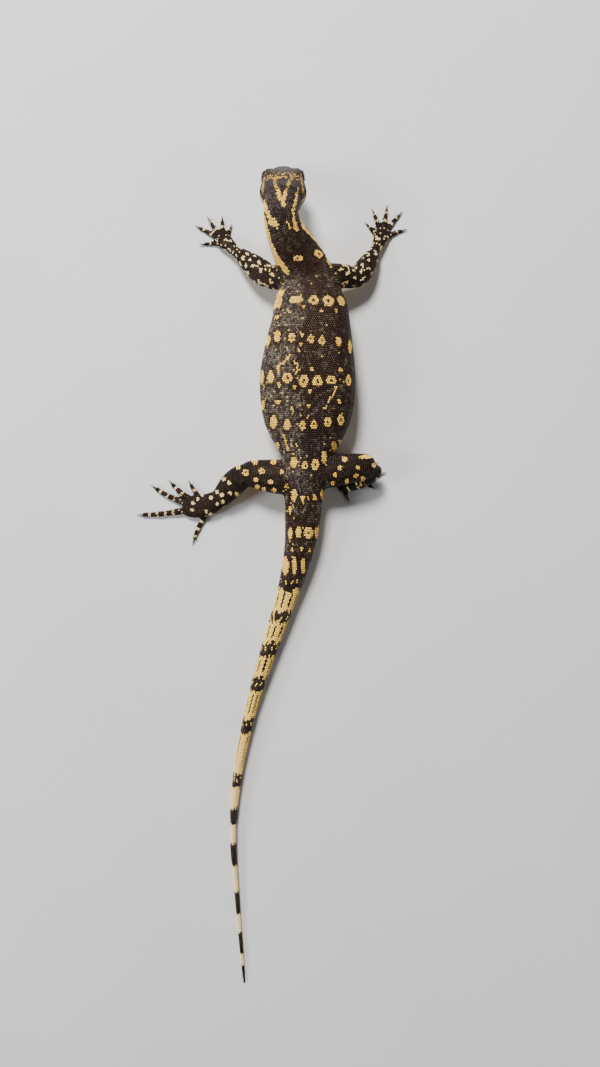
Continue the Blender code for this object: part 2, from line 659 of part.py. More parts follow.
floor = floor_block()
trunk = build_trunk()
body_clearances = [grown(trunk[name]) for name in ("neck", "torso", "tail_1")]
for name in ("torso", "tail_1", "tail_2", "tail_3", "tail_4"):
    boolean(trunk[name], [floor], "DIFFERENCE")
build_head()
for side in ("left", "right"):
    arm = (("upper_arm_" + side, UPPER_ARM), ("forearm_" + side, FOREARM), ("hand_" + side, HAND))
    leg = (("thigh_" + side, THIGH), ("shank_" + side, SHANK), ("foot_" + side, FOOT))
    build_limb(side, arm, FINGERS, HAND_CLAW, body_clearances, floor)
    build_limb(side, leg, TOES, FOOT_CLAW, body_clearances, floor)
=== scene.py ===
import math

import bmesh
import bpy
import numpy as np
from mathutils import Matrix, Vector, noise as blender_noise
from mathutils.bvhtree import BVHTree
from mathutils.kdtree import KDTree


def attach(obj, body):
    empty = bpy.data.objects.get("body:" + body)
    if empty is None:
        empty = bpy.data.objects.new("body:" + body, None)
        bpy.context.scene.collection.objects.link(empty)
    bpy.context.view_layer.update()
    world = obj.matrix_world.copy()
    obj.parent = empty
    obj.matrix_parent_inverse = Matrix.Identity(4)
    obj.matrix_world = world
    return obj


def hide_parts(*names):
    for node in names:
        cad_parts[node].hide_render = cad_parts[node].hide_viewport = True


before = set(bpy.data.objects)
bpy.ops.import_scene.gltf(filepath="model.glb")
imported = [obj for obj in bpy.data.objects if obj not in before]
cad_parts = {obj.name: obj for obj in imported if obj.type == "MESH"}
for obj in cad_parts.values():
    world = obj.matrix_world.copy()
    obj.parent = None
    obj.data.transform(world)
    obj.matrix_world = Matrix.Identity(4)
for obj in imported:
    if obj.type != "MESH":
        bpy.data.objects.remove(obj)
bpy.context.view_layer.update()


# The stand-in for a studio table: a plain pale board under the animal, one soft lamp ahead of
# its head, weaker ones at its sides, a grey room round it, and the camera straight above.
MM = 0.001
scene = bpy.context.scene

CAMERA_PLACE = (0.0039, 0.0727, 0.377)
CAMERA_LENS = 26.0
SENSOR_HEIGHT = 36.0
CLIP_START = 0.01

camera_data = bpy.data.cameras.new("camera")
camera_data.sensor_fit = "VERTICAL"
camera_data.sensor_height = SENSOR_HEIGHT
camera_data.lens = CAMERA_LENS
camera_data.clip_start = CLIP_START
camera = bpy.data.objects.new("camera", camera_data)
camera.location = CAMERA_PLACE
camera.rotation_euler = (0.0, 0.0, math.pi)
scene.collection.objects.link(camera)
scene.camera = camera


class Wire:
    """One value running through a material's nodes; sums and products of it add Math nodes."""

    def __init__(self, finish, socket):
        self.finish = finish
        self.socket = socket

    def maths(self, operation, first, second):
        return self.finish.node("Math", {"operation": operation}, {0: first, 1: second})

    def __add__(self, other):
        return self.maths("ADD", self, other)

    def __rsub__(self, other):
        return self.maths("SUBTRACT", other, self)

    def __mul__(self, other):
        return self.maths("MULTIPLY", self, other)

    __radd__ = __add__
    __rmul__ = __mul__


class Finish:
    """A material being put together, node by node."""

    def __init__(self, name, **even):
        self.material = bpy.data.materials.new(name)
        self.material.use_nodes = True
        self.tree = self.material.node_tree
        self.shader = self.tree.nodes["Principled BSDF"]
        for socket, value in even.items():
            self.feed(self.shader.inputs[socket.replace("_", " ")], value)

    def feed(self, socket, value):
        if isinstance(value, Wire):
            self.tree.links.new(value.socket, socket)
        elif isinstance(value, tuple) and len(value) == 3 and socket.type == "RGBA":
            socket.default_value = (*value, 1.0)
        else:
            socket.default_value = value

    def node(self, kind, settings=None, sockets=None, output=0):
        made = self.tree.nodes.new("ShaderNode" + kind)
        for name, value in (settings or {}).items():
            if name == "stops":
                elements = made.color_ramp.elements
                elements[1].position = value[-1][0]
                for place, _ in value[1:-1]:
                    elements.new(place)
                for element, (place, colour) in zip(elements, value):
                    element.position = place
                    element.color = (*colour, 1.0)
            else:
                setattr(made, name, value)
        for name, value in (sockets or {}).items():
            self.feed(made.inputs[name], value)
        return Wire(self, made.outputs[output])

    def value(self, attribute):
        """A value laid down on the mesh, point by point."""
        return self.node("Attribute", {"attribute_name": attribute}, output=2)

    def between(self, value, low, high):
        """A smooth step from 0 to 1."""
        return self.node("MapRange", {"interpolation_type": "SMOOTHSTEP"},
                         {"Value": value, "From Min": low, "From Max": high})

    def mix(self, amount, first, second):
        """One colour over the other."""
        return self.node("Mix", {"data_type": "RGBA"}, {0: amount, 6: first, 7: second}, output=2)

    def shaded(self, amount, colour):
        """The colour brought down to that share of itself."""
        return self.mix(amount, (0.0, 0.0, 0.0), colour)

    def noise(self, size, detail=3.0):
        """Cloudy variation with patches of about that many millimetres."""
        return self.node("TexNoise", None, {"Vector": self.node("NewGeometry"), "Detail": detail,
                                            "Scale": 1.0 / (size * MM), "Roughness": 0.55})

    def bump(self, height, depth, strength):
        """Relief of the given depth in millimetres."""
        relief = self.node("Bump", None, {"Height": height, "Distance": depth * MM,
                                          "Strength": strength})
        self.feed(self.shader.inputs["Normal"], relief)

    def colour(self, wire):
        self.feed(self.shader.inputs["Base Color"], wire)

    def roughness(self, wire):
        self.feed(self.shader.inputs["Roughness"], wire)


def mesh_piece(name, points, faces, finish=None, smooth=True):
    """A new shown mesh from points in metres."""
    mesh = bpy.data.meshes.new(name)
    mesh.from_pydata(points, [], faces)
    mesh.update()
    if finish:
        mesh.materials.append(finish.material)
    if smooth:
        mesh.shade_smooth()
    piece = bpy.data.objects.new(name, mesh)
    scene.collection.objects.link(piece)
    return piece


BOARD_HALF = 3.0
BOARD_CLOUDS = 90.0
BOARD_GREYS = ((0.44, 0.44, 0.445), (0.49, 0.49, 0.495))

board_finish = Finish("pale_board", Roughness=0.75)
board_finish.colour(board_finish.mix(board_finish.noise(BOARD_CLOUDS), *BOARD_GREYS))
corners = [(BOARD_HALF * i, BOARD_HALF * j, 0) for i, j in ((-1, -1), (1, -1), (1, 1), (-1, 1))]
board = mesh_piece("board", corners, [(0, 1, 2, 3)], board_finish, smooth=False)

# Name, place, aim, size, power and tint of each lamp.
LAMPS = (
    ("overhead", (0.30, -0.80, 1.05), (0.0, 0.08, 0.0), 0.42, 50.0, (1.0, 0.975, 0.94)),
    ("left_fill", (1.15, 0.25, 0.75), (0.0, 0.05, 0.0), 0.5, 18.0, (0.94, 0.97, 1.0)),
    ("right_fill", (-1.1, 0.6, 0.7), (0.0, 0.05, 0.0), 0.6, 4.0, (1.0, 0.97, 0.93)),
)
ROOM_TINT = (0.82, 0.85, 0.9, 1.0)
ROOM_LIGHT = 0.17

for name, place, aim, size, power, tint in LAMPS:
    light = bpy.data.lights.new(name, "AREA")
    light.shape = "DISK"
    light.size = size
    light.energy = power
    light.color = tint
    holder = bpy.data.objects.new(name, light)
    holder.location = place
    holder.rotation_euler = (Vector(aim) - Vector(place)).to_track_quat("-Z", "Y").to_euler()
    scene.collection.objects.link(holder)

world = bpy.data.worlds.new("room")
world.use_nodes = True
room = world.node_tree.nodes["Background"].inputs
room["Color"].default_value = ROOM_TINT
room["Strength"].default_value = ROOM_LIGHT
scene.world = world


# The hide. One soft skin over the whole animal, loose at the throat, in the armpits and along
# the flanks, thin over the toes, with the nostrils, ear openings and lips formed in it.
VOXEL = 0.34
CLOSE_SEAMS = 0.34     # how far each length of the solids is swollen before they are fused
COAT_DEPTH = 0.10      # how far the hide lies under the tops of its scales
HIDE_TRIANGLES = 150000
EASE = 0.52            # share of the way to its neighbours' middle that a point is eased
SWELL = 0.535          # and of the way back, so that nothing thins
EVEN_ROUNDS = 24
SEAM_ROUNDS = 70
HEAD_KEEPS = 0.55      # share of the easing that the head's own forms are spared
HEAD_BOUNDS = (30.0, 14.0, 12.0)
MOUTH_BOUNDS = (12.0, 12.0)

# The head: length, the joint with the neck, how it is turned, and the ways ahead, left and up.
HEAD_LENGTH = 36.0
HEAD_JOINT = np.array((11.6, -78.4, 28.0))
HEAD_PITCH = math.radians(43)
HEAD_TURN = math.radians(-1)
HEAD_AXIS = np.array((-math.sin(HEAD_TURN) * math.cos(HEAD_PITCH),
                      -math.cos(HEAD_TURN) * math.cos(HEAD_PITCH), -math.sin(HEAD_PITCH)))
HEAD_SIDE = np.array((math.cos(HEAD_TURN), math.sin(-HEAD_TURN), 0.0))
HEAD_UP = np.cross(HEAD_AXIS, HEAD_SIDE)

# Places on the head are millimetres behind the snout's tip, to the side, and upwards.
EYE_PLACE = (16.5, 7.6, 2.1)
EYE_RADIUS = 2.6
EYE_LEAN = 0.2         # how far the eyes look upwards and ahead
MOUTH_LINE = ((-3.0, -1.9), (0.0, -1.9), (6.0, -1.7), (13.0, -2.1), (19.0, -2.9), (23.0, -2.9))
MOUTH_START = -2.0
MOUTH_END = 23.5
LIPS_PART = 0.6        # depth of the groove between the lips
GROOVE_WIDE = 0.32
SLIT_WIDE = 0.5
# Openings: place, half length and half height, lean, fullness, and depth that they reach.
NOSTRIL_PLACE = np.array((4.4, 4.55, 1.15))
EAR_PLACE = np.array((30.0, 10.9, 0.4))
NOSTRIL = (NOSTRIL_PLACE, 0.95, 0.55, 0.35, 1.25, 1.6)
EAR = (EAR_PLACE, 1.25, 1.75, 0.0, 1.2, 2.2)
NOSTRIL_DEEP = 1.3
NOSTRIL_WAY = (0.8, 0.45, -0.2)    # outwards, upwards and ahead
EAR_DEEP = 0.9

# Where lengths of the solids meet: middle, and how far the flesh is smoothed along x, y, z.
SEAMS = (
    ((3.0, -53.0, 19.0), (14.0, 5.0, 14.0)), ((2.3, 57.0, 9.0), (12.0, 3.5, 12.0)),
    ((11.0, 104.0, 5.5), (8.0, 3.0, 8.0)), ((27.8, 158.0, 3.8), (6.0, 3.0, 6.0)),
    ((36.4, 214.0, 2.2), (5.0, 3.0, 5.0)), ((20.0, -49.6, 8.8), (6.0, 5.0, 6.0)),
    ((-24.0, -49.6, 8.4), (6.0, 5.0, 6.0)), ((34.8, -63.8, 4.0), (3.6, 3.6, 3.0)),
    ((-33.0, -65.0, 4.0), (3.6, 3.6, 3.0)), ((31.0, 44.6, 9.4), (5.0, 6.0, 6.0)),
    ((-31.5, 41.6, 12.4), (5.0, 6.0, 6.0)), ((43.6, 56.4, 5.2), (5.0, 5.0, 4.0)),
    ((-16.4, 49.6, 4.6), (4.5, 4.0, 4.0)), ((12.0, -48.5, 14.0), (5.0, 8.0, 7.0)),
    ((-13.0, -48.5, 14.0), (5.0, 8.0, 7.0)), ((10.5, 46.0, 11.2), (4.0, 9.0, 8.0)),
    ((-9.5, 43.6, 11.8), (4.0, 9.0, 8.0)),
)
FLESH = [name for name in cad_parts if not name.startswith(("claw_", "eye_"))]


def in_head(behind, side, up):
    """Place in the model of a place in the head, in millimetres."""
    return HEAD_JOINT + HEAD_AXIS * (HEAD_LENGTH - behind) + HEAD_SIDE * side + HEAD_UP * up


def head_place(places):
    """Distance behind the snout's tip, to the left and upwards, for rows of points."""
    away = places - HEAD_JOINT
    return np.stack((HEAD_LENGTH - away @ HEAD_AXIS, away @ HEAD_SIDE, away @ HEAD_UP), axis=1)


def within(head, behind, side, up):
    """True for places on the head within so far of its tip and of its middle line."""
    return (head[:, 0] < behind) & (np.abs(head[:, 1]) < side) & (np.abs(head[:, 2]) < up)


def mouth_height(behind):
    return np.interp(behind, *zip(*MOUTH_LINE))


def in_oval(head, side, place, half_long, half_high, lean, full, deep):
    """1 in the middle of an opening on one side of the head, 0 outside its leaning oval."""
    back, out, over = (head - place * (1, side, 1)).T
    oval = np.hypot((back + lean * over) / half_long, (over - lean * back) / half_high)
    return np.clip(full - oval**2, 0.0, 1.0) * (out * side > -deep)


def swollen(node, by):
    """The node's surface, welded and moved outwards by so many millimetres."""
    work = bmesh.new()
    work.from_mesh(node.data)
    work.transform(node.matrix_world)
    bmesh.ops.remove_doubles(work, verts=work.verts, dist=1e-6)
    bmesh.ops.recalc_face_normals(work, faces=work.faces)
    work.normal_update()
    moved = [vert.co + vert.normal * by * MM for vert in work.verts]
    faces = [[vert.index for vert in face.verts] for face in work.faces]
    work.free()
    return moved, faces


def applied(piece):
    """The piece's mesh with its modifiers applied."""
    graph = bpy.context.evaluated_depsgraph_get()
    mesh = bpy.data.meshes.new_from_object(piece.evaluated_get(graph))
    piece.modifiers.clear()
    piece.data = mesh
    return mesh


def read(mesh, what="co"):
    """Every point of a mesh in millimetres, or every point's normal."""
    flat = np.empty(len(mesh.vertices) * 3)
    mesh.vertices.foreach_get(what, flat)
    return flat.reshape(-1, 3) / (MM if what == "co" else 1.0)


def write(mesh, places):
    mesh.vertices.foreach_set("co", (places * MM).ravel())
    mesh.update()


def near(value, middle, width):
    """1 at the middle, falling away smoothly over the width."""
    return np.exp(-((value - middle) / width) ** 2)


def relaxed(places, mesh, rounds, amount, swell):
    """Points eased towards their neighbours' middle and back out again, so many times."""
    edges = np.empty(len(mesh.edges) * 2, dtype=np.int64)
    mesh.edges.foreach_get("vertices", edges)
    near_end, far_end = edges[0::2], edges[1::2]
    here, there = np.concatenate((near_end, far_end)), np.concatenate((far_end, near_end))
    count = np.maximum(np.bincount(here, minlength=len(places)), 1)[:, None]
    for turn in range(2 * rounds):
        middle = np.stack([np.bincount(here, places[there, i], len(places)) for i in range(3)],
                          axis=1)
        step = EASE if turn % 2 == 0 else -swell
        places = places + (middle / count - places) * step * amount[:, None]
    return places


points, faces = [], []
for name in FLESH:
    moved, loops = swollen(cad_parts[name], CLOSE_SEAMS)
    start = len(points)
    points += moved
    faces += [[start + i for i in loop] for loop in loops]

hide = mesh_piece("hide", points, faces)
fuse = hide.modifiers.new("fuse", "REMESH")
fuse.mode = "VOXEL"
fuse.voxel_size = VOXEL * MM
mesh = applied(hide)

# Seams between the solids' lengths are worked out of the flesh; the head keeps its forms.
places = read(mesh)
even = 1.0 - HEAD_KEEPS * within(head_place(places), *HEAD_BOUNDS)
places = relaxed(places, mesh, EVEN_ROUNDS, even, SWELL)
seams = np.zeros(len(places))
for place, reach in SEAMS:
    seams = np.maximum(seams, near(np.linalg.norm((places - place) / reach, axis=1), 0.0, 1.0))
write(mesh, relaxed(places, mesh, SEAM_ROUNDS, seams, 0.0))
places = read(mesh) - read(mesh, "normal") * (CLOSE_SEAMS + COAT_DEPTH)
write(mesh, places)

head = head_place(places)
groove = near(head[:, 2], mouth_height(head[:, 0]), GROOVE_WIDE) * (head[:, 0] > MOUTH_START)
groove *= within(head, MOUTH_END, *MOUTH_BOUNDS)
places -= read(mesh, "normal") * (groove * LIPS_PART)[:, None]
for side in (1, -1):
    head = head_place(places)
    out, up, ahead = NOSTRIL_WAY
    way = HEAD_SIDE * side * out + HEAD_UP * up + HEAD_AXIS * ahead
    places -= way * (NOSTRIL_DEEP * in_oval(head, side, *NOSTRIL))[:, None]
    places -= HEAD_SIDE * side * (EAR_DEEP * in_oval(head, side, *EAR))[:, None]
write(mesh, places)
thin = hide.modifiers.new("thin", "DECIMATE")
thin.use_collapse_triangulate = True
thin.ratio = min(1.0, HIDE_TRIANGLES / (2.0 * len(mesh.polygons)))
mesh = applied(hide)
mesh.shade_smooth()
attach(hide, "root")
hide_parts(*FLESH)

hide_places = read(mesh)
hide_normals = read(mesh, "normal")
hide_loops = np.empty(len(mesh.loops), dtype=np.int64)
mesh.loops.foreach_get("vertex_index", hide_loops)
hide_faces = hide_loops.reshape(-1, 3)
hide_surface = BVHTree.FromPolygons([tuple(p) for p in hide_places], hide_faces.tolist())

head = head_place(hide_places)
# Painted shade: the nostrils, ear openings and slit of the mouth are marked here to be painted
# black.
pit_shade = sum(in_oval(head, side, *opening) for side in (1, -1) for opening in (NOSTRIL, EAR))
slit_shade = near(head[:, 2], mouth_height(head[:, 0]), SLIT_WIDE)
pit_shade += slit_shade * within(head, MOUTH_END, *MOUTH_BOUNDS)


# The lids. A soft ring of hide over each eyeball, reaching a little lower above than below,
# that leaves an oval opening and slips under the rim of the socket.
LID_OPEN_LONG = math.radians(45)
LID_OPEN_HIGH = math.radians(37)
LID_TUCKED = math.radians(76)
LID_LOW_ABOVE = 0.10   # share by which the upper lid closes the opening
LID_TURNS = 56
LID_LIFT = 0.20
LID_FULL = 0.30
# Once round the lid's thickness: part of the way to the socket, and millimetres outwards.
LID_PROFILE = (
    (0.0, -0.32), (0.0, -0.10), (0.05, 0.0), (0.2, 0.0), (0.4, 0.0), (0.6, 0.0), (0.8, 0.0),
    (1.0, 0.0), (1.0, -0.45), (0.5, -0.75),
)


def unit(rows):
    return rows / np.maximum(np.linalg.norm(rows, axis=-1, keepdims=True), 1e-9)


def eye_frame(side):
    """Centre of an eye and the ways out of it, forwards and upwards."""
    behind, out_by, up_by = EYE_PLACE
    centre = in_head(behind, side * out_by, up_by)
    out = unit(HEAD_SIDE * side + HEAD_UP * EYE_LEAN + HEAD_AXIS * EYE_LEAN)
    ahead = unit(HEAD_AXIS - out * (HEAD_AXIS @ out))
    return centre, out, ahead, unit(HEAD_UP - out * (HEAD_UP @ out) - ahead * (HEAD_UP @ ahead))


def lid_point(socket, turn, part, thick=0.0):
    """A place on a lid: part 0 at its free edge, 1 where it tucks into the socket."""
    centre, out, ahead, high = socket
    c, s = math.cos(turn), math.sin(turn)
    opening = (1 - LID_LOW_ABOVE * max(s, 0.0)) / math.hypot(c / LID_OPEN_LONG, s / LID_OPEN_HIGH)
    bend = opening + (LID_TUCKED - opening) * part
    full = LID_FULL * math.sin(math.pi * min(part * 0.9 + 0.06, 1.0))
    way = out * math.cos(bend) + (ahead * c + high * s) * math.sin(bend)
    return centre + way * (EYE_RADIUS + LID_LIFT + full + thick)


for side, name in ((1, "lids_left"), (-1, "lids_right")):
    socket = eye_frame(side)
    points = [lid_point(socket, 2 * math.pi * i / LID_TURNS, part, thick) * MM
              for i in range(LID_TURNS) for part, thick in LID_PROFILE]
    wide = len(LID_PROFILE)
    loops = []
    for i in range(LID_TURNS):
        a, b = i * wide, (i + 1) % LID_TURNS * wide
        for j in range(wide):
            k = (j + 1) % wide
            quad = (a + j, a + k, b + k, b + j)
            loops.append(quad if side > 0 else quad[::-1])
    lids = mesh_piece(name, points, loops)
    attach(lids, "root")


# The scales. Keeled beads in cross rows round the neck, trunk and legs, sharper keeled shields
# in rings round the tail, small plates on the head and granules on the lids. Each is a horny
# thickening of the hide, and they abut with the soft dark hide between them. Here their roots
# are set; their colours and shapes come next.

# Middle line of the body from nape to tail tip: x, y, z, reach.
SPINE = (
    (11.9, -75.8, 29.5, 8.4), (12.3, -72.6, 30.2, 8.0), (12.3, -69.0, 29.2, 8.2),
    (10.5, -64.4, 26.5, 8.8), (7.3, -59.4, 22.9, 10.3), (4.1, -54.8, 19.4, 11.2),
    (0.4, -49.4, 16.2, 11.6), (-0.6, -44.6, 14.6, 13.5), (-0.8, -38.0, 13.3, 16.6),
    (-1.2, -28.0, 12.4, 18.5), (-0.5, -16.0, 12.0, 20.8), (0.2, -2.0, 12.0, 22.7),
    (0.3, 11.0, 11.8, 22.3), (0.5, 21.0, 11.3, 20.2), (0.3, 30.0, 10.8, 15.6),
    (0.3, 36.0, 10.5, 12.3), (0.5, 42.0, 10.2, 11.2), (2.0, 50.0, 9.7, 10.2),
    (2.3, 60.0, 9.0, 9.4), (2.9, 70.0, 8.2, 8.7), (4.4, 81.0, 7.2, 7.7), (7.5, 93.4, 6.2, 6.7),
    (11.1, 105.7, 5.5, 5.9), (19.4, 130.3, 4.6, 5.0), (26.6, 154.0, 3.8, 4.2),
    (33.6, 186.0, 2.9, 3.3), (36.5, 217.0, 2.1, 2.5), (34.8, 247.0, 1.4, 1.8),
    (32.2, 279.0, 0.9, 1.2), (31.0, 293.0, 0.55, 0.8),
)
# Middle line of each leg: x, y, z, reach.
LEGS = {
    "arm_left": (
        (2.5, -47.4, 14.5, 6.4), (9.5, -48.4, 13.8, 6.4), (16.5, -48.8, 10.8, 6.2),
        (20.4, -50.2, 8.6, 6.2), (24.6, -54.6, 7.2, 6.0), (30.0, -59.6, 5.6, 4.4),
        (35.0, -64.2, 4.0, 2.8), (38.4, -67.6, 2.8, 3.4), (40.8, -69.8, 2.1, 4.0)),
    "arm_right": (
        (-3.5, -47.0, 14.5, 6.4), (-10.5, -48.4, 13.8, 6.4), (-18.5, -49.0, 10.6, 6.0),
        (-24.0, -50.4, 8.4, 5.6), (-27.2, -54.8, 7.0, 5.3), (-30.2, -60.0, 5.4, 4.2),
        (-33.0, -65.2, 4.0, 2.8), (-34.8, -69.6, 2.8, 3.4), (-35.8, -72.6, 2.1, 4.0)),
    "leg_left": (
        (1.5, 46.4, 11.2, 8.6), (10.0, 46.2, 11.4, 8.6), (19.0, 45.2, 11.0, 8.0),
        (27.0, 44.3, 10.1, 6.8), (32.0, 45.6, 9.2, 6.2), (36.2, 49.2, 8.2, 6.4),
        (40.4, 53.8, 6.4, 5.6), (44.8, 57.0, 4.7, 5.0), (48.8, 58.8, 3.4, 5.6),
        (55.0, 59.6, 2.3, 5.8), (59.0, 59.8, 1.9, 4.8)),
    "leg_right": (
        (-1.0, 44.5, 11.4, 8.4), (-9.0, 43.4, 12.0, 8.2), (-18.0, 42.2, 12.8, 7.6),
        (-26.0, 41.2, 13.2, 6.8), (-32.2, 41.2, 12.4, 5.6)),
    "shank_right": (
        (-30.8, 42.6, 10.6, 5.2), (-27.5, 45.6, 9.0, 5.0), (-21.5, 48.2, 6.8, 4.4),
        (-16.4, 49.6, 4.2, 4.2)),
    "foot_right": (
        (-15.6, 49.4, 3.6, 4.2), (-20.4, 46.4, 2.1, 4.8), (-23.4, 45.7, 1.7, 4.2)),
}
# Toes of each foot: root x, y, bend sideways, claw tip x, y, radius at the root.
TOES = {
    "arm_left": (
        (39.4, -70.4, 0.6, 36.6, -78.6, 1.35), (40.4, -71.0, 0.6, 41.8, -83.0, 1.4),
        (41.6, -71.0, 0.4, 49.4, -82.4, 1.4), (42.4, -70.2, -0.4, 55.4, -77.6, 1.4),
        (42.0, -68.4, -0.8, 53.4, -67.8, 1.3)),
    "arm_right": (
        (-33.4, -72.6, -0.6, -27.4, -79.0, 1.35), (-34.8, -73.8, -0.6, -31.0, -86.0, 1.4),
        (-36.0, -74.2, -0.4, -38.6, -88.2, 1.4), (-37.4, -73.6, 0.4, -46.2, -84.6, 1.4),
        (-38.2, -71.6, 0.8, -48.8, -75.6, 1.3)),
    "leg_left": (
        (52.0, 56.4, 0.4, 58.8, 45.9, 1.5), (56.6, 56.4, 0.8, 68.3, 46.1, 1.6),
        (59.4, 57.8, 1.0, 76.8, 48.8, 1.65), (59.8, 61.4, 0.7, 83.9, 63.6, 1.7),
        (48.8, 62.0, -1.0, 56.4, 78.7, 1.5)),
    "leg_right": (
        (-17.6, 45.0, -0.3, -26.6, 38.6, 1.4), (-21.2, 44.2, -0.5, -34.2, 37.6, 1.5),
        (-23.0, 45.2, -0.8, -38.4, 42.6, 1.6), (-22.4, 47.0, 1.4, -33.6, 52.2, 1.6),
        (-16.4, 49.8, 0.8, -19.8, 58.4, 1.4)),
}
CLAW_LENGTH = {"arm": 2.7, "leg": 3.0}
TOE_END = 0.62         # radius of a toe's end over its radius at the root
TOE_ROOT_HEIGHT = 1.7
KNUCKLE = 0.14
TOE_STEPS = (0.0, 0.2, 0.4, 0.6, 0.8, 1.0)
FLOOR_DIP = 0.5
CLAW_GAP = 0.3

# Lengthwise and crosswise pitch of the scales by distance along the middle line.
SPINE_PITCH = ((0, 0.80, 0.78), (25, 0.84, 0.80), (60, 0.90, 0.86), (100, 0.90, 0.86),
               (125, 0.92, 0.80), (150, 1.05, 0.78), (220, 1.0, 0.68), (300, 0.9, 0.52),
               (372, 0.75, 0.42))
LEG_PITCH = ((0, 0.86, 0.84), (25, 0.82, 0.80), (50, 0.74, 0.72), (80, 0.66, 0.64))
TOE_PITCH = ((0, 0.66, 0.62), (10, 0.66, 0.55), (30, 0.6, 0.5))
LINE_STEP = 0.5
FEELERS = 56
FIRST_ROW = 0.2
REACH_SPARE = 1.22     # how far a feeler goes: share of the flesh's reach there, and more
REACH_MORE = 0.8
HEAD_REACH = 14.0
HEAD_LINE = (38.0, 24.0, 12.0, 0.0)
CROWDED = 0.62         # share of its pitch that a scale needs from those of other courses
SEED = 7

chance = np.random.default_rng(SEED)
roots = {key: [] for key in ("place", "normal", "ahead", "long", "wide", "course", "at", "angle")}
courses = []


def smooth(rows, step):
    """Rows read evenly from the smooth curve through them, with the distance walked."""
    rows = np.array(rows, float)
    strides = np.linalg.norm(np.diff(rows[:, :3], axis=0), axis=1)
    knots = np.concatenate(([0.0], np.cumsum(strides)))
    slopes = np.gradient(rows, knots, axis=0)
    at = np.arange(0.0, knots[-1], step)
    i = np.clip(np.searchsorted(knots, at, side="right") - 1, 0, len(knots) - 2)
    span = (knots[i + 1] - knots[i])[:, None]
    t = (at - knots[i])[:, None] / span
    return at, ((2 * t**3 - 3 * t**2 + 1) * rows[i] + (t**3 - 2 * t**2 + t) * slopes[i] * span
                + (3 * t**2 - 2 * t**3) * rows[i + 1] + (t**3 - t**2) * slopes[i + 1] * span)


def toe_line(root_x, root_y, bend, tip_x, tip_y, radius, claw):
    """Middle line of a toe up to its claw: x, y, z, reach."""
    start, tip = np.array((root_x, root_y)), np.array((tip_x, tip_y))
    way = tip - start
    reach = np.linalg.norm(way)
    sideways = np.array((-way[1], way[0])) / reach
    share = 1 - (claw + CLAW_GAP) / reach
    rows = []
    for part in TOE_STEPS:
        t = part * share
        place = start + way * t + sideways * bend * math.sin(math.pi * t)
        size = radius * (1 - (1 - TOE_END) * part) * (1 + KNUCKLE * (len(rows) % 2))
        height = max(TOE_ROOT_HEIGHT * (1 - part) ** 1.5, size - FLOOR_DIP * 0.5)
        rows.append((*place, height, size))
    return rows


def felt(start, way, reach):
    """Where a feeler from inside the flesh comes out, and the hide's smooth normal there."""
    spot, _, face, _ = hide_surface.ray_cast(Vector(start), Vector(way), reach)
    if face is None:
        return None, None
    return np.array(spot), hide_normals[hide_faces[face]].mean(axis=0)


def set_root(place, normal, ahead, long, wide, course, at, angle):
    for key, value in zip(roots, (place, normal, ahead, long, wide, course, at, angle)):
        roots[key].append(value)


def course_along(name, rows):
    """A middle line with its cross directions."""
    at, line = smooth(rows, LINE_STEP)
    ahead = unit(np.gradient(line[:, :3], axis=0))
    up = unit(np.array((0.0, 0.0, 1.0)) - ahead * ahead[:, 2:3])
    courses.append({"name": name, "at": at, "centre": line[:, :3], "reach": line[:, 3],
                    "ahead": ahead, "up": up, "side": np.cross(ahead, up)})
    return len(courses) - 1


def tree_of(places):
    """The places sorted so that the nearest ones are found quickly."""
    tree = KDTree(max(len(places), 1))
    for i, place in enumerate(places):
        tree.insert(place, i)
    tree.balance()
    return tree


def ring_with_scales(number, pitches):
    """Cross rows of scales round a middle line, each row set half a scale over."""
    course = courses[number]
    taken = tree_of(roots["place"])
    settled = len(roots["place"]) > 0
    where, long_pitch, wide_pitch = zip(*pitches)
    angles = math.pi / 2 + 2 * math.pi * np.arange(FEELERS + 1) / FEELERS
    s, row = FIRST_ROW, 0
    while s < course["at"][-1]:
        long, wide = np.interp(s, where, long_pitch), np.interp(s, where, wide_pitch)
        centre, side, up, ahead = (
            np.array([np.interp(s, course["at"], course[key][:, i]) for i in range(3)])
            for key in ("centre", "side", "up", "ahead"))
        reach = np.interp(s, course["at"], course["reach"]) * REACH_SPARE + REACH_MORE
        hits = [felt(centre, side * math.cos(a) + up * math.sin(a), reach)[0] for a in angles]
        steps = [0.0 if a is None or b is None else float(np.linalg.norm(a - b))
                 for a, b in zip(hits, hits[1:])]
        walked = np.concatenate(([0.0], np.cumsum(steps)))
        count = int(walked[-1] / wide)
        offset = 0.5 * (row % 2)
        for i in range(count):
            angle = float(np.interp((i + offset) / count * walked[-1], walked, angles))
            way = side * math.cos(angle) + up * math.sin(angle)
            place, normal = felt(centre, way, reach)
            if place is None or (settled and taken.find(place)[2] < CROWDED * wide):
                continue
            set_root(place, normal, ahead, long, wide, number, s, angle)
        s += long
        row += 1


def sampled(faces, density):
    """Even random places on some faces of the hide, so many to a square millimetre."""
    a, b, c = (hide_places[hide_faces[faces, i]] for i in range(3))
    area = np.linalg.norm(np.cross(b - a, c - a), axis=1) / 2
    which = np.repeat(np.arange(len(faces)), chance.poisson(area * density))
    u, v = chance.random(len(which)), chance.random(len(which))
    over = u + v > 1
    u[over], v[over] = 1 - u[over], 1 - v[over]
    places = a[which] + (b - a)[which] * u[:, None] + (c - a)[which] * v[:, None]
    return places, unit(hide_normals[hide_faces[faces[which]]].mean(axis=1))


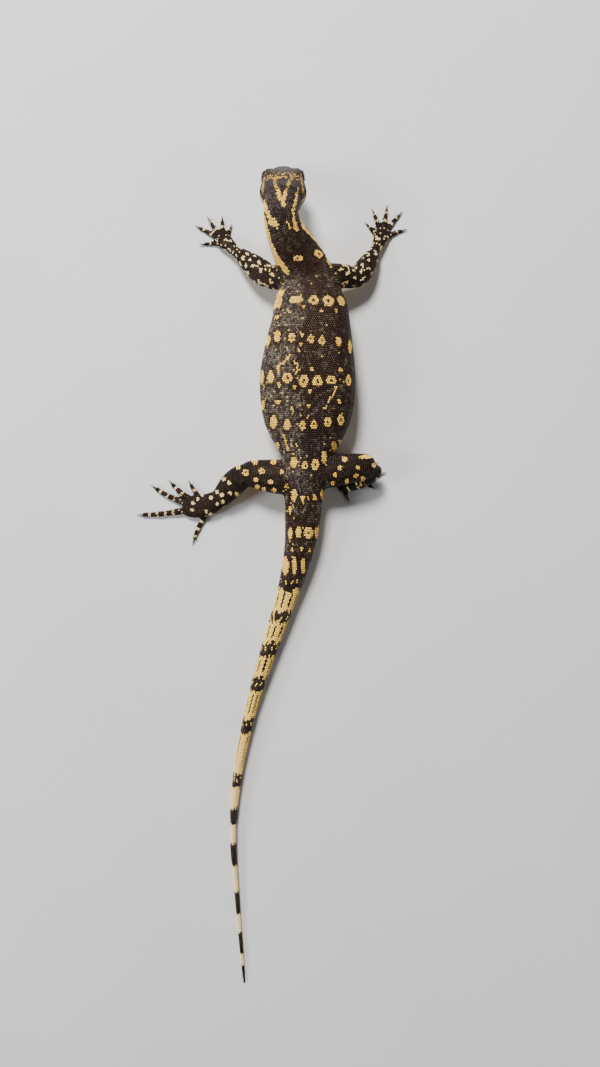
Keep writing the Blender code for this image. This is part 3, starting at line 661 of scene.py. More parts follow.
def strew(places, normals, pitch, ahead, course, at, angle, crowd):
    """Scales dropped where there is room left, none nearer to another than its pitch."""
    tree = tree_of(places)
    free = np.ones(len(places), bool)
    for place, wide in zip(roots["place"], roots["wide"]):
        for _, i, _ in tree.find_range(place, wide * crowd):
            free[i] = False
    for i in range(len(places)):
        if free[i]:
            for _, j, _ in tree.find_range(places[i], pitch[i] * crowd):
                free[j] = False
            set_root(places[i], normals[i], ahead[i], pitch[i], pitch[i], course[i], at[i],
                     angle[i])


def from_eye(head):
    """Distance of places on the head from the middle of the eye on their side."""
    return np.linalg.norm(mirrored(head) - EYE_PLACE, axis=1)


def mirrored(head):
    return np.stack((head[:, 0], np.abs(head[:, 1]), head[:, 2]), axis=1)


spine = course_along("spine", SPINE)
head_course = course_along("head", [(*in_head(behind, 0.0, 0.0), HEAD_REACH)
                                    for behind in HEAD_LINE])

# Lip shields above and below the mouth, and broad shields in a row over each eye.
LIP_SHIELD = 0.95
LIP_HEIGHTS = (0.60, -0.62)
LIP_SPAN = (1.2, 22.8)
BROW_LONG = 1.15
BROW_WIDE = 1.3
BROW_OUT = 5.3
BROW_SPAN = (12.6, 20.6)
BROW_LEAN = 0.7
for side in (1, -1):
    for level in LIP_HEIGHTS:
        for behind in np.arange(*LIP_SPAN, LIP_SHIELD):
            start = in_head(behind, 0.0, mouth_height(behind) + level)
            place, normal = felt(start, HEAD_SIDE * side, HEAD_REACH)
            if place is not None:
                set_root(place, normal, -HEAD_AXIS, LIP_SHIELD, LIP_SHIELD, head_course, behind,
                         0.0 if side > 0 else math.pi)
    for behind in np.arange(*BROW_SPAN, BROW_LONG):
        place, normal = felt(in_head(behind, side * BROW_OUT, 0.0), HEAD_UP, HEAD_REACH)
        set_root(place, normal, -HEAD_AXIS, BROW_LONG, BROW_WIDE, head_course, behind,
                 math.pi / 2 - side * BROW_LEAN)

# Plates over the rest of the head, largest on the snout and along its middle, granules round
# the eyes, nostrils and ears; then smaller ones in what room is left.
HEAD_SKIN = (35.5, 13.0, 11.0)
HEAD_DENSITY = 26.0
PLATE = 0.74
SNOUT_MORE, SNOUT_SPAN = 0.22, (6.0, 9.0)        # how much broader there, and where
MIDDLE_MORE, MIDDLE_WIDE = 0.16, 3.5
# How much each way counts in the distance from a nostril or ear.
NOSTRIL_WEIGHTS = (0.7, 0.8, 1.0)
EAR_WEIGHTS = (1.0, 0.9, 0.75)
GRANULE = 0.42
RIM_GRANULE = 0.45
SMALL_SHARE = 0.62
PLATE_CROWD = 0.9
SMALL_CROWD = 0.74
# Nothing is set nearer than this to the eye's middle, nostril, ear and slit of the mouth.
EYE_BARE = EYE_RADIUS + 0.55
NOSTRIL_BARE = 0.95
EAR_BARE = 1.75
LIP_BARE = 0.36
# Granules reach this far from the eye's middle, the nostril and the ear.
EYE_GRAINED = 4.3
NOSTRIL_GRAINED = 1.5
EAR_GRAINED = 2.4
middles = head_place(hide_places[hide_faces].mean(axis=1))
places, normals = sampled(np.nonzero(within(middles, *HEAD_SKIN))[0], HEAD_DENSITY)
head = head_place(places)
eye_away = from_eye(head)
nostril_away = np.linalg.norm((mirrored(head) - NOSTRIL_PLACE) * NOSTRIL_WEIGHTS, axis=1)
ear_away = np.linalg.norm((mirrored(head) - EAR_PLACE) * EAR_WEIGHTS, axis=1)
slit_away = np.abs(head[:, 2] - mouth_height(head[:, 0]))
bare = ((eye_away < EYE_BARE) | (nostril_away < NOSTRIL_BARE) | (ear_away < EAR_BARE)
        | ((slit_away < LIP_BARE) & (head[:, 0] < MOUTH_END)))
pitch = (PLATE + SNOUT_MORE * near(head[:, 0], *SNOUT_SPAN)
         + MIDDLE_MORE * near(head[:, 1], 0.0, MIDDLE_WIDE) * (head[:, 2] > 0))
pitch = np.where(eye_away < EYE_GRAINED, GRANULE, pitch)
grained = (ear_away < EAR_GRAINED) | (nostril_away < NOSTRIL_GRAINED)
pitch = np.where(grained, RIM_GRANULE, pitch)
places, normals, head, pitch = places[~bare], normals[~bare], head[~bare], pitch[~bare]
angle = np.arctan2(head[:, 2], head[:, 1]) % (2 * math.pi)
backwards = np.tile(-HEAD_AXIS, (len(places), 1))
on_course = np.full(len(places), head_course)
strew(places, normals, pitch, backwards, on_course, head[:, 0], angle, PLATE_CROWD)
strew(places, normals, SMALL_SHARE * pitch, backwards, on_course, head[:, 0], angle,
      SMALL_CROWD)

LID_ROWS = 5
LID_FREE_EDGE = 0.16
LID_GRAIN = 0.42
LID_BENDS = (40, 30)   # degrees from the eye's axis at the free edge, and more at the socket
for side in (1, -1):
    socket = eye_frame(side)
    for ring in range(LID_ROWS):
        part = LID_FREE_EDGE + (1 - LID_FREE_EDGE) * (ring + 0.5) / LID_ROWS
        bend = math.radians(LID_BENDS[0] + LID_BENDS[1] * part)
        girth = 2 * math.pi * EYE_RADIUS * math.sin(bend)
        count = int(girth / LID_GRAIN)
        for i in range(count):
            turn = 2 * math.pi * (i + 0.5 * (ring % 2)) / count
            place = lid_point(socket, turn, part)
            set_root(place, unit(place - socket[0]), -HEAD_AXIS, LID_GRAIN, LID_GRAIN,
                     head_course, EYE_PLACE[0], turn)

ring_with_scales(spine, SPINE_PITCH)
for name, rows in LEGS.items():
    ring_with_scales(course_along(name, rows), LEG_PITCH)
toe_lines = {}
for name, toes in TOES.items():
    for number, toe in enumerate(toes, 1):
        line = toe_line(*toe, CLAW_LENGTH[name[:3]])
        toe_lines[name, number] = line
        ring_with_scales(course_along(f"{name}_{number}", line), TOE_PITCH)

# Wherever rows meet and leave a gap, small scales fill it.
FILLER_DENSITY = 7.0
FILLER_SHARE = 0.92
FILLER_CROWD = 0.84
PLATED = (35.0, 13.0, 11.0)       # the head has its plates by now
places, normals = sampled(np.arange(len(hide_faces)), FILLER_DENSITY)
off_head = ~within(head_place(places), *PLATED)
places, normals = places[off_head], normals[off_head]
laid = tree_of(roots["place"])
nearest = np.array([laid.find(place)[1] for place in places])
beside = {key: np.array(roots[key])[nearest] for key in ("wide", "ahead", "course", "at", "angle")}
strew(places, normals, beside["wide"] * FILLER_SHARE, beside["ahead"], beside["course"],
      beside["at"], beside["angle"], FILLER_CROWD)

root = {key: np.array(values, float) for key, values in roots.items()}
root["course"] = root["course"].astype(int)
root["normal"] = unit(root["normal"])
lean = (root["ahead"] * root["normal"]).sum(1)[:, None]
root["ahead"] = unit(root["ahead"] - root["normal"] * lean)
root["across"] = np.cross(root["normal"], root["ahead"])
names = np.array([course["name"] for course in courses])[root["course"]]
on_head = names == "head"
on_spine = names == "spine"
on_toe = np.char.find(names, "_", 5) > 0      # and the right shank, which is ringed like them
on_leg = ~(on_head | on_spine | on_toe)
on_arm = on_leg & (np.char.find(names, "arm_") == 0)

# Markings: pigment in the scales themselves, worked out at each one's root in millimetres.
# Pale spots in cross rows down the back, ringed in black and some with a dark heart; pale bands
# round the tail; a dark streak through each eye; bars over the belly, lips and snout.

# Spots: x, y, half width, and half length where that differs.
BACK_SPOTS = (
    (14.4, -34.2, 2.3), (5.7, -34.1, 3.0, 1.8), (-15.1, -34.7, 1.8, 2.1), (2.1, -30.5, 0.7),
    (-6.0, -28.7, 0.7), (-12.9, -29.4, 0.7), (14.5, -27.3, 0.9), (18.9, -17.1, 1.2, 2.8),
    (14.3, -17.7, 1.4, 2.8), (2.9, -17.0, 0.8, 1.1), (-13.8, -15.1, 1.4, 2.1),
    (-19.3, -14.0, 0.9, 3.0), (21.6, -0.2, 0.9, 3.3), (17.3, 0.9, 1.5, 3.0), (-14.7, -1.9, 0.9),
    (21.2, 12.7, 0.9, 1.9), (16.1, 21.2, 1.7, 2.8), (9.7, 23.0, 1.7, 2.3), (14.8, 31.8, 1.2, 1.7),
    (-12.0, 32.1, 1.4, 1.9), (-14.7, 29.2, 0.9), (6.7, 39.6, 1.6, 2.5), (-7.3, 37.3, 1.2, 2.8),
    (10.2, 51.0, 1.1), (6.7, 54.9, 1.4, 2.8), (2.6, 56.5, 1.0, 1.6), (-0.4, 56.4, 0.9, 1.2),
    (-3.0, 56.0, 0.9, 1.6), (-6.5, 54.3, 0.9, 2.1), (8.5, 61.8, 0.7, 1.9), (8.4, 72.4, 1.0, 2.6),
    (4.6, 72.4, 1.3, 2.6), (-4.2, 72.4, 1.1, 2.6), (10.8, 88.0, 1.6, 4.2), (6.6, 88.0, 1.0, 4.2),
    (2.4, 88.0, 1.0, 3.8), (7.6, 80.4, 0.45, 1.2), (3.0, 80.0, 0.45, 1.2),
    (-0.6, 81.0, 0.45, 1.2), (10.6, 96.0, 0.45, 1.1), (8.1, 96.4, 0.45, 1.1),
    (5.2, 95.6, 0.45, 1.1), (6.4, 6.3, 0.8, 1.1), (-0.6, 8.3, 0.8, 1.1), (0.1, 14.6, 0.6, 0.9),
    (7.6, 15.6, 0.6, 1.2), (-7.2, 15.6, 0.7), (-14.1, 12.2, 0.8, 0.9), (13.8, 12.4, 1.5, 0.9),
    (13.5, 4.9, 0.8, 1.3), (0.4, 20.3, 0.5, 0.6), (5.4, 31.9, 0.5, 0.8), (-1.3, -1.7, 0.8),
    (3.5, -12.7, 0.7, 0.9), (4.5, -10.2, 0.5, 0.9), (-14.3, 2.2, 0.6),
)
BACK_HEARTS = (
    (-2.4, -33.6, 2.3, 2.0), (-9.1, -33.6, 2.5, 2.3), (7.6, -16.3, 1.5, 2.0),
    (-1.0, -15.5, 1.5, 1.8), (-6.1, -14.8, 1.5, 2.0), (9.5, 1.8, 2.3), (2.1, 3.5, 2.0, 2.9),
    (-4.1, 3.6, 2.3), (-10.3, 2.9, 2.4, 2.0), (-18.5, 2.1, 1.2, 2.5), (2.9, 23.5, 1.4, 2.1),
    (-2.4, 23.1, 1.4, 2.1), (-8.9, 21.8, 1.5, 2.1), (-14.9, 20.4, 1.6, 2.3),
    (1.3, 41.3, 1.7, 1.8), (-3.3, 40.9, 1.7, 2.5), (4.8, -52.0, 2.3, 1.1),
    (-4.8, -55.1, 2.1, 1.8), (-0.2, 72.4, 2.1, 2.6),
)
LEG_SPOTS = (
    (25.1, 39.0, 1.2), (16.1, 39.1, 1.2), (33.0, 41.3, 1.2), (40.0, 46.8, 0.9), (37.5, 48.8, 0.9),
    (12.3, 43.8, 0.9), (24.5, 47.6, 0.9), (17.7, 48.7, 0.9), (24.2, 50.8, 0.9), (20.9, 51.7, 0.9),
    (16.1, 52.3, 0.9), (43.5, 52.9, 0.8), (41.0, 54.4, 0.8), (37.1, 53.5, 0.8), (33.9, 53.9, 0.8),
    (40.7, 57.6, 0.8), (46.6, 55.4, 0.8), (43.7, 58.6, 0.7), (51.3, 54.1, 0.7), (53.2, 56.0, 0.7),
    (55.6, 58.0, 0.7), (56.1, 61.3, 0.7), (49.2, 62.1, 0.7), (42.4, 62.4, 0.7), (47.0, 63.7, 0.7),
    (-16.9, 38.0, 1.2), (-26.8, 36.9, 2.8, 0.9), (-14.7, 42.1, 0.9), (-22.9, 42.0, 0.9),
    (-30.7, 40.7, 0.9), (-12.4, 45.5, 0.9), (-11.5, 49.1, 0.9), (-18.1, 48.1, 0.9),
    (-22.2, 45.7, 0.9), (-25.7, 47.1, 0.9), (-25.1, 49.2, 0.8), (-15.8, 51.3, 1.0),
    (-21.4, 50.1, 0.8),
)
LEG_HEARTS = (
    (29.5, 44.1, 1.3), (21.7, 43.5, 1.3),
)
BACK_GROWTH = 1.03     # how much further than its table's size a spot spreads
LEG_GROWTH = 1.18
HEART = 0.30           # a dark heart's share of its spot
HEART_SOFT = 0.4
RING = 1.1             # width of the black round a spot, free of grizzle
RING_SOFT = 0.8
FLANKS = -0.15         # how far down a scale may face and still show the spots of the back
# Rows of spots go on down the sides, where those above aren't seen: y of each row.
ROWS_AT = (-34.0, -16.0, 2.0, 22.0, 40.5, 55.5)
ROW_HALF = 1.5
# Pale strokes seen from above: half width, then the places that each runs through.
STROKES = (
    (0.75, ((21.4, -84.0), (21.2, -79.4), (19.0, -71.4), (17.2, -67.5), (15.4, -65.0))),
    (1.3, ((16.6, -66.4), (14.4, -64.2))),
    (0.55, ((4.5, -83.0), (5.7, -75.8), (7.0, -69.9), (6.6, -66.6))),
    (0.9, ((6.4, -65.8), (5.4, -63.4))),
    (0.85, ((15.8, -88.0), (15.2, -84.6), (14.0, -80.6), (12.6, -75.4))),
    (0.85, ((8.2, -88.0), (8.8, -84.6), (9.8, -80.6), (11.2, -75.4), (11.4, -72.4))),
    (0.45, ((9.6, -66.0), (8.4, -63.5))),
    (0.85, ((21.6, -75.0), (20.6, -70.0), (19.4, -65.4), (16.6, -56.4), (13.4, -51.5),
            (9.6, -47.0))),
    (0.7, ((4.2, -72.0), (2.1, -65.0), (-4.4, -60.8), (-8.4, -56.5), (-10.2, -51.0))),
    (0.5, ((8.6, -8.4), (10.4, -5.8), (13.9, -3.4), (13.5, -0.3))),
    (0.5, ((7.0, -5.8), (4.9, -3.4), (5.4, 0.1))),
    (0.4, ((-12.6, 5.6), (-11.4, 9.4), (-9.0, 12.4))),
    (0.5, ((11.4, 27.5), (9.4, 34.0))),
)
EDGE = 0.3             # softness of a mark's edge


def inside(distance, edge=EDGE):
    """1 inside a mark and 0 outside, for a distance that is 0 at its edge and grows outwards."""
    return np.clip(0.5 - distance / edge, 0.0, 1.0)


def stripe(away, half, edge=EDGE):
    """A line of that half width, for the distance from its middle to either side."""
    return inside(np.abs(away) - half, edge)


def barred(value, pitch, half, edge, start=0.0):
    """Lines at every pitch."""
    return inside(np.abs((value / pitch + start) % 1.0 - 0.5) * pitch - half, edge)


def ramp(value, start, fades):
    """0 up to the start, rising evenly to 1 so much further on."""
    return np.clip((value - start) / fades, 0.0, 1.0)


def drift(size, seed):
    """Slow random variation over the body, from about -1 to 1, with swells of that size."""
    offset = Vector((seed * 17.3, seed * 5.1, seed * 9.7))
    return np.array([blender_noise.noise(Vector(place) / size + offset)
                     for place in root["place"]])


def from_stroke(stroke):
    """Distance in plan from the nearest part of a stroke."""
    best = np.full(len(x), 1e9)
    for (ax, ay), (bx, by) in zip(stroke, stroke[1:]):
        way_x, way_y = bx - ax, by - ay
        t = np.clip(((x - ax) * way_x + (y - ay) * way_y) / (way_x**2 + way_y**2), 0.0, 1.0)
        best = np.minimum(best, np.hypot(x - ax - t * way_x, y - ay - t * way_y))
    return best


x, y = root["place"].T[:2]
behind, side, up = head_place(root["place"]).T
aside = np.abs(side)
upright = root["normal"][:, 2]
along, turn = root["at"], root["angle"]
luck = chance.random(len(x))
broad, fine = drift(9.0, 1), drift(2.4, 2)
facing_up = upright > FLANKS

pale, dark, ringed = np.zeros(len(x)), np.zeros(len(x)), np.zeros(len(x))
for spots, hearted, on_part, growth in (
        (BACK_SPOTS, False, on_spine, BACK_GROWTH), (BACK_HEARTS, True, on_spine, BACK_GROWTH),
        (LEG_SPOTS, False, on_leg, LEG_GROWTH), (LEG_HEARTS, True, on_leg, LEG_GROWTH)):
    shown = on_part & facing_up
    for spot in spots:
        spot_x, spot_y, half_wide, half_long = (*spot, spot[2])[:4]
        size = min(half_wide, half_long)
        ratio = np.hypot((x - spot_x) / half_wide, (y - spot_y) / half_long) / growth
        pale = np.maximum(pale, inside((ratio - 1) * size) * shown)
        ringed = np.maximum(ringed, inside((ratio - 1) * size - RING, RING_SOFT) * shown)
        if hearted:
            heart = inside((ratio - HEART) * size, HEART_SOFT) * shown
            dark = np.maximum(dark, heart * (0.6 + 0.4 * luck))
for row_at in ROWS_AT:
    pale = np.maximum(pale, stripe(y - row_at, ROW_HALF) * (on_spine & (y < 60.0) & ~facing_up))
seen_from_above = (on_spine & (upright > 0.0)) | (on_head & (up > 1.0))
for half, stroke in STROKES:
    ragged = inside(from_stroke(stroke) - half * (0.8 + 0.4 * luck))
    pale = np.maximum(pale, ragged * seen_from_above)

# Grizzle: single greyish scales among the black, thickest on the left of the back, where the extra
# grey is partly the animal's own and partly painted sheen of the light from that side; thin on the
# neck, with wavering grey lines on the right and a few pale specks.
NECK_ENDS = -46.0
GRIZZLED = 0.22        # share of grizzled scales on the body, and of those on the legs
LEGS_GRIZZLED = -0.22  # only where chance adds to it
# Extra grizzle on the left: partly the animal's own colour, partly painted sheen.
MORE_ON_LEFT = 0.44
LEFT_OF, LEFT_FADES = 3.0, 5.0
FEWER_IN_MIDDLE = 0.20
RIGHT_OF = 1.0
SPECKS_END = 96.0
leftwards = np.tanh((x - LEFT_OF) / LEFT_FADES) * (np.abs(y - 2.0) < 46.0)
thick = GRIZZLED + MORE_ON_LEFT * leftwards + 0.5 * broad
thick = np.where(on_spine, thick - FEWER_IN_MIDDLE * near(x, 0.5, 3.0) * (y < 40.0),
                 LEGS_GRIZZLED)
grizzle = np.clip(thick + 0.8 * fine + 1.1 * (luck - 0.5), 0.0, 1.0)
grizzle *= (on_spine | on_leg) * (1 - 0.8 * ringed)
grizzle = np.where(on_spine & (y < NECK_ENDS), 0.35 * grizzle, grizzle)
wavering = stripe(drift(5.0, 3), 0.03, 0.08) * inside(RIGHT_OF - x, 4.0)
wavering *= (np.abs(y + 2.0) < 40.0) * on_spine * (luck > 0.4)
grizzle = np.maximum(grizzle, wavering)
speck = on_spine & (luck > 0.990 - 0.025 * (x > 2.0)) & (y < SPECKS_END) & (y > NECK_ENDS)
pale = np.where(speck, np.maximum(pale, 0.5), pale)

# Tail: ragged pale bands from y to y, the first of them dashed with dark lengthwise flecks and
# followed by short pale marks that are painted glints. Each lengthwise column of shields has its
# own ends for every band.
TAIL_BANDS = ((99.8, 110.2), (115.0, 125.0), (131.7, 141.7), (148.4, 161.6), (168.8, 188.5),
              (195.5, 205.9), (213.8, 223.0), (233.7, 246.8), (257.7, 266.7), (277.4, 283.0))
TAIL_STARTS = 96.5
TAIL_COLUMNS = 40
RAGGED = ((100.0, 1.0), (170.0, 0.7), (280.0, 0.35))     # how much, by y
RAGGED_START, RAGGED_END = 2.6, 3.2
DASHED_BANDS = 5
DASH_FROM, DASH_TO = 1.6, 2.6      # inwards of a band's ends
GLINT_AFTER, GLINT_HALF = 3.0, 0.9
BAND_EDGE = 0.5
column = np.floor(turn / (2 * math.pi) * TAIL_COLUMNS).astype(int) % TAIL_COLUMNS
jag = chance.random((TAIL_COLUMNS, 2 * len(TAIL_BANDS) + 1)) - 0.5
ragged = np.interp(y, *zip(*RAGGED))
bands, dashes = np.zeros(len(x)), np.zeros(len(x))
for number, (start, end) in enumerate(TAIL_BANDS):
    starts = start + RAGGED_START * ragged * jag[column, 2 * number]
    ends = end + RAGGED_END * ragged * jag[column, 2 * number + 1]
    bands = np.maximum(bands, inside(starts - y, BAND_EDGE) * inside(y - ends, BAND_EDGE))
    if number < DASHED_BANDS:
        shift = jag[column, number]
        dash = inside(start + DASH_FROM - y, BAND_EDGE) * inside(y - end + DASH_TO, BAND_EDGE)
        dash *= (column % 4 == number % 3) & (shift > -0.3) & (np.sin(turn) > -0.2)
        # Painted highlight: pale glints on the dark shields just after each of the first bands.
        painted_glint = stripe(y - end - GLINT_AFTER - shift, GLINT_HALF, BAND_EDGE)
        painted_glint *= column % 4 == (number + 2) % 4
        dashes, bands = np.maximum(dashes, dash), np.maximum(bands, painted_glint)
on_tail = on_spine & (y > TAIL_STARTS)
pale = np.where(on_tail, bands, pale)
dark = np.where(on_tail, 0.92 * dashes, dark)

# Legs: small spots in loose cross rows below and on the arms, which are marbled as well; the
# toes are ringed, faintly on the right foot.
LEG_CELL = 3.9
CELLS_ROUND = 8
LEG_GIRTH = ((0, 44.0), (30, 38.0), (60, 25.0))          # by distance down the leg
LEG_SPOT_HALF = (0.6, 0.5)         # least, and more by chance
FORELEG_MARBLED_FROM = 7.0
MARBLED = 0.42
TOE_RINGS = 4.1
TOE_RING_HALF = 0.62
TOE_RINGS_FROM = 4.5
row = np.floor(along / LEG_CELL)
stagger = turn / (2 * math.pi) * CELLS_ROUND + 0.5 * (row % 2)
shake = np.sin(row * 12.9 + np.floor(stagger) * 78.2 + root["course"] * 3.1) * 43758.5
shake -= np.floor(shake)
off_row = (along / LEG_CELL - row - 0.5 + 0.3 * (shake - 0.5)) * LEG_CELL
girth = np.interp(along, *zip(*LEG_GIRTH))
off_turn = (stagger - np.floor(stagger) - 0.5) * girth / CELLS_ROUND
leg_spots = inside(np.hypot(off_row, off_turn) - (LEG_SPOT_HALF[0] + LEG_SPOT_HALF[1] * shake))
leg_spots *= shake > 0.12
marbled = on_arm & facing_up & (along > FORELEG_MARBLED_FROM)
marbled &= fine + 0.5 * (luck - 0.5) > MARBLED
pale = np.where(marbled, 0.6, pale)
pale = np.where(on_leg & (on_arm | ~facing_up), np.maximum(pale, leg_spots), pale)
rings = barred(along, TOE_RINGS, TOE_RING_HALF, 0.35, 0.15)
rings = np.where(along < TOE_RINGS_FROM, leg_spots, rings * (np.sin(turn) > 0.25) * (luck > 0.2))
rings = np.where(np.char.find(names, "leg_right_") >= 0, rings * (luck > 0.65), rings)
pale = np.where(on_toe, rings * (upright > -0.4), pale)

# Underside: cream with narrow dark bars that run up the flanks, and a pale patch behind the
# left arm.
BAR_PITCH = 7.2
PATCH_PLACE = (16.5, -37.0)
PATCH_HALF = (5.5, 5.0)
BELLY_FROM, BELLY_FADES = 0.10, 0.3        # by how far a scale faces down
BAR_HALF, BAR_THINS = 0.15, 0.07           # as a share of the pitch
THINNER = (0.4, 0.5)
BARS_END = 95.0
under = -upright
belly = ramp(under, BELLY_FROM, BELLY_FADES)
wander = y / BAR_PITCH + 0.10 * drift(6.0, 5) + 0.05 * fine
width = BAR_HALF - BAR_THINS * ramp(under, *THINNER) + 0.05 * drift(8.0, 6)
bars = inside((0.5 - np.abs(wander % 1.0 - 0.5)) - width, 0.06)
belly *= np.where(on_spine & (y < BARS_END), 1.0 - bars, np.where(on_leg, 0.8, 1.0))
pale = np.maximum(pale, belly * ((on_spine & ~on_tail) | on_leg))
patch = np.hypot((x - PATCH_PLACE[0]) / PATCH_HALF[0], (y - PATCH_PLACE[1]) / PATCH_HALF[1])
patch = inside(patch - 1 + 0.5 * fine, 0.3) * on_spine
pale = np.maximum(pale, patch * (upright < 0.75) * (broad + 1.4 * fine < 0.42))
tone = np.where((under > 0.1) | on_tail, 0.55 + 0.45 * luck, luck)

# Head: mottled crown, cross bars on the snout, a black streak through the eye, barred lips.
# Places are millimetres behind the snout's tip, aside of the middle line, and up or down.
CROWN_START, CROWN_END = 20.6, 27.6
CROWN_HALF = 7.6
CROWN_DOTS = (24.2, 1.8)           # a dark pair: behind the tip, and aside
CROWN_BAR = 21.6
BROW_LINE = 19.4
BROW_HALF = 7.0
TEMPLE_ASIDE = 8.3
CHEEK_DOWN, CHEEK_HALF = 1.0, 1.6
SNOUT_PITCH, SNOUT_END = 4.4, 13.0
LIP_HALF, LIP_PITCH = 2.0, 4.0
THROAT_DOWN, THROAT_PITCH = 4.0, 5.0
STREAK_UP, STREAK_HALF, STREAK_FROM = 2.4, 1.1, 8.0
SLIT_HALF = 0.34
mouth = mouth_height(behind)
back_of_eye = behind > 20.0
top = on_head & (up > 2.2)
crown = inside(behind - CROWN_END - 3.0 * near(aside, 3.3, 1.2), 1.0)
crown *= inside(CROWN_START - behind, 0.6) * inside(aside - CROWN_HALF, 1.0) * top
crown *= 0.8 * fine + 1.6 * (luck - 0.5) <= 0.0
crown *= 1 - inside(np.hypot(behind - CROWN_DOTS[0], aside - CROWN_DOTS[1]) - 0.8, 0.4)
temple = stripe(aside - TEMPLE_ASIDE - 0.07 * (behind - 21.0), 0.55, 0.5)
temple *= back_of_eye * (up > -0.5)
snout_bars = barred(behind + 0.12 * aside, SNOUT_PITCH, 0.5, 0.6)
snout_bars *= (behind < SNOUT_END) * (up > 0.5)
brow_line = stripe(behind - BROW_LINE, 0.4, 0.5) * top * inside(aside - BROW_HALF, 1.0)
cheek = stripe(up + CHEEK_DOWN - 0.06 * (behind - 20.0), CHEEK_HALF, 1.0)
cheek *= back_of_eye * (aside > 6.0)
lips = stripe(up - mouth, LIP_HALF, 0.8) * (1 - barred(behind, LIP_PITCH, 0.55, 0.5))
lips *= behind < MOUTH_END
throat = ramp(-up, THROAT_DOWN, 1.0) * (1 - 0.7 * barred(behind, THROAT_PITCH, 0.6, 0.5))
head_pale = np.maximum.reduce((crown, temple, 0.4 * snout_bars, 0.5 * brow_line, 0.9 * cheek,
                               lips, throat, pale))
pale = np.where(on_head, head_pale, pale)
streak = stripe(up - STREAK_UP + 0.09 * (behind - 16.0), STREAK_HALF, 0.8)
streak *= (behind > STREAK_FROM) * (aside > 4.5)
crown_bar = stripe(behind - CROWN_BAR, 0.5, 0.5) * top * (fine > -0.25)
# Painted shade: scales along the slit of the mouth are darkened.
slit_shade = stripe(up - mouth, SLIT_HALF, 0.2) * (behind < MOUTH_END)
dull = 0.44 * (up > 1.5) * (0.5 + luck)
dark = np.where(on_head, np.maximum.reduce((streak, crown_bar, slit_shade, dull)), dark)
head_grizzle = 0.18 * (behind < 20.0) + 0.06 + 0.3 * (behind < 26.5) * (luck > 0.6)
grizzle = np.where(on_head, head_grizzle, grizzle)

# A thin dark line along the loins, painted shade of a furrow; the pale marks of hands, feet and
# tail end are whiter, and the ground between them is blacker.
FURROW = ((25.4, -0.4), (34.3, -0.2), (43.3, -0.1), (52.5, -0.6), (60.0, -0.6))
FURROW_HALF = 0.45
LOINS = (22.0, 60.0)
ARMS_WHITER_FROM, LEGS_WHITER_FROM = 3.0, 24.0
WHITER_FADES = 24.0
TAIL_END_FROM, TAIL_END_FADES = 170.0, 50.0
on_loins = on_spine & (y > LOINS[0]) & (y < LOINS[1]) & facing_up
# Painted shade: a dark line where a furrow would be shaded.
furrow_shade = stripe(x - np.interp(y, *zip(*FURROW)), FURROW_HALF) * on_loins
dark = np.maximum(dark, 0.8 * furrow_shade)
pale *= 1 - dark
whiter_from = np.where(on_arm, ARMS_WHITER_FROM, LEGS_WHITER_FROM)
whiter = ramp(along, whiter_from, WHITER_FADES) * on_leg
whiter = np.where(on_toe | (names == "foot_right"), 1.0, whiter) * (under < 0.3)
whiter = np.where(on_tail, ramp(y, TAIL_END_FROM, TAIL_END_FADES), whiter)
dark = np.where((on_leg | on_toe | on_tail) & (pale < 0.3), np.maximum(dark, 0.8), dark)


# Building the scales: each reaches out until it meets its neighbours, so that they abut as
# irregular polygons; its shoulders are rounded and a low keel runs lengthwise over it.
CORNERS = 8
NEIGHBOURS = 11
SEAM = 0.95            # share of its cell that a scale fills
LOOSE = 1.05           # furthest reach over a scale's pitch, on the head
CLOSE = 0.72           # and elsewhere
HEAD_CELL = 0.75       # pitch that the head's scales at least count for, away from the lids
LIDS_REACH = 3.5
STOP_STEP = 0.35       # how close the places stand along the mouth where scales stop
ROOTED = 0.10          # how deep a scale's foot lies in the hide
SHOULDER = 0.84        # share of its reach, and of its height, where a scale rounds over
SHOULDER_HIGH = 0.74
KEEL_BACK, KEEL_BACK_HIGH = 0.42, 0.94
KEEL_FRONT = 0.48
RISE = (0.0, 0.8, 1.0)  # at a scale's rim, its shoulders and its keel
BAKE_PATCH = 0.003     # size of a scale on the flat unwrapped sheet
BAKE_MARGIN = 0.01


def cells():
    """How far each scale reaches in every direction."""
    spots, faces = list(root["place"]), list(root["normal"])
    for side in (1, -1):
        for behind in np.arange(0.0, MOUTH_END, STOP_STEP):
            start = in_head(behind, 0.0, mouth_height(behind))
            place, normal = felt(start, HEAD_SIDE * side, HEAD_REACH)
            if place is not None:
                spots.append(place)
                faces.append(unit(normal))
    tree, spots, faces = tree_of(spots), np.array(spots), np.array(faces)
    beside = np.array([[i for _, i, _ in tree.find_n(place, NEIGHBOURS)][1:]
                       for place in root["place"]])
    away = spots[beside] - root["place"][:, None, :]
    flat = np.stack([(away * root[way][:, None, :]).sum(2) for way in ("ahead", "across")], axis=2)
    facing = (faces[beside] * root["normal"][:, None, :]).sum(2) > 0.1
    turns = 2 * math.pi * (np.arange(CORNERS) + 0.5) / CORNERS
    ways = np.stack((np.cos(turns), np.sin(turns)))
    towards = flat @ ways
    half = (flat**2).sum(2)[:, :, None] / 2
    met = (towards > 1e-4) & facing[:, :, None]
    meet = np.where(met, half / np.maximum(towards, 1e-4), 1e3).min(axis=1)
    pitch = np.maximum(root["long"], root["wide"])
    plate = np.maximum(pitch, HEAD_CELL * (from_eye(head_place(root["place"])) > LIDS_REACH))
    return ways, np.minimum(meet, np.where(on_head, LOOSE * plate, CLOSE * pitch)[:, None]) * SEAM


def lay_down(mesh, **values):
    """Values laid on the mesh point by point."""
    for attribute, numbers in values.items():
        mesh.attributes.new(attribute, "FLOAT", "POINT").data.foreach_set("value", numbers)


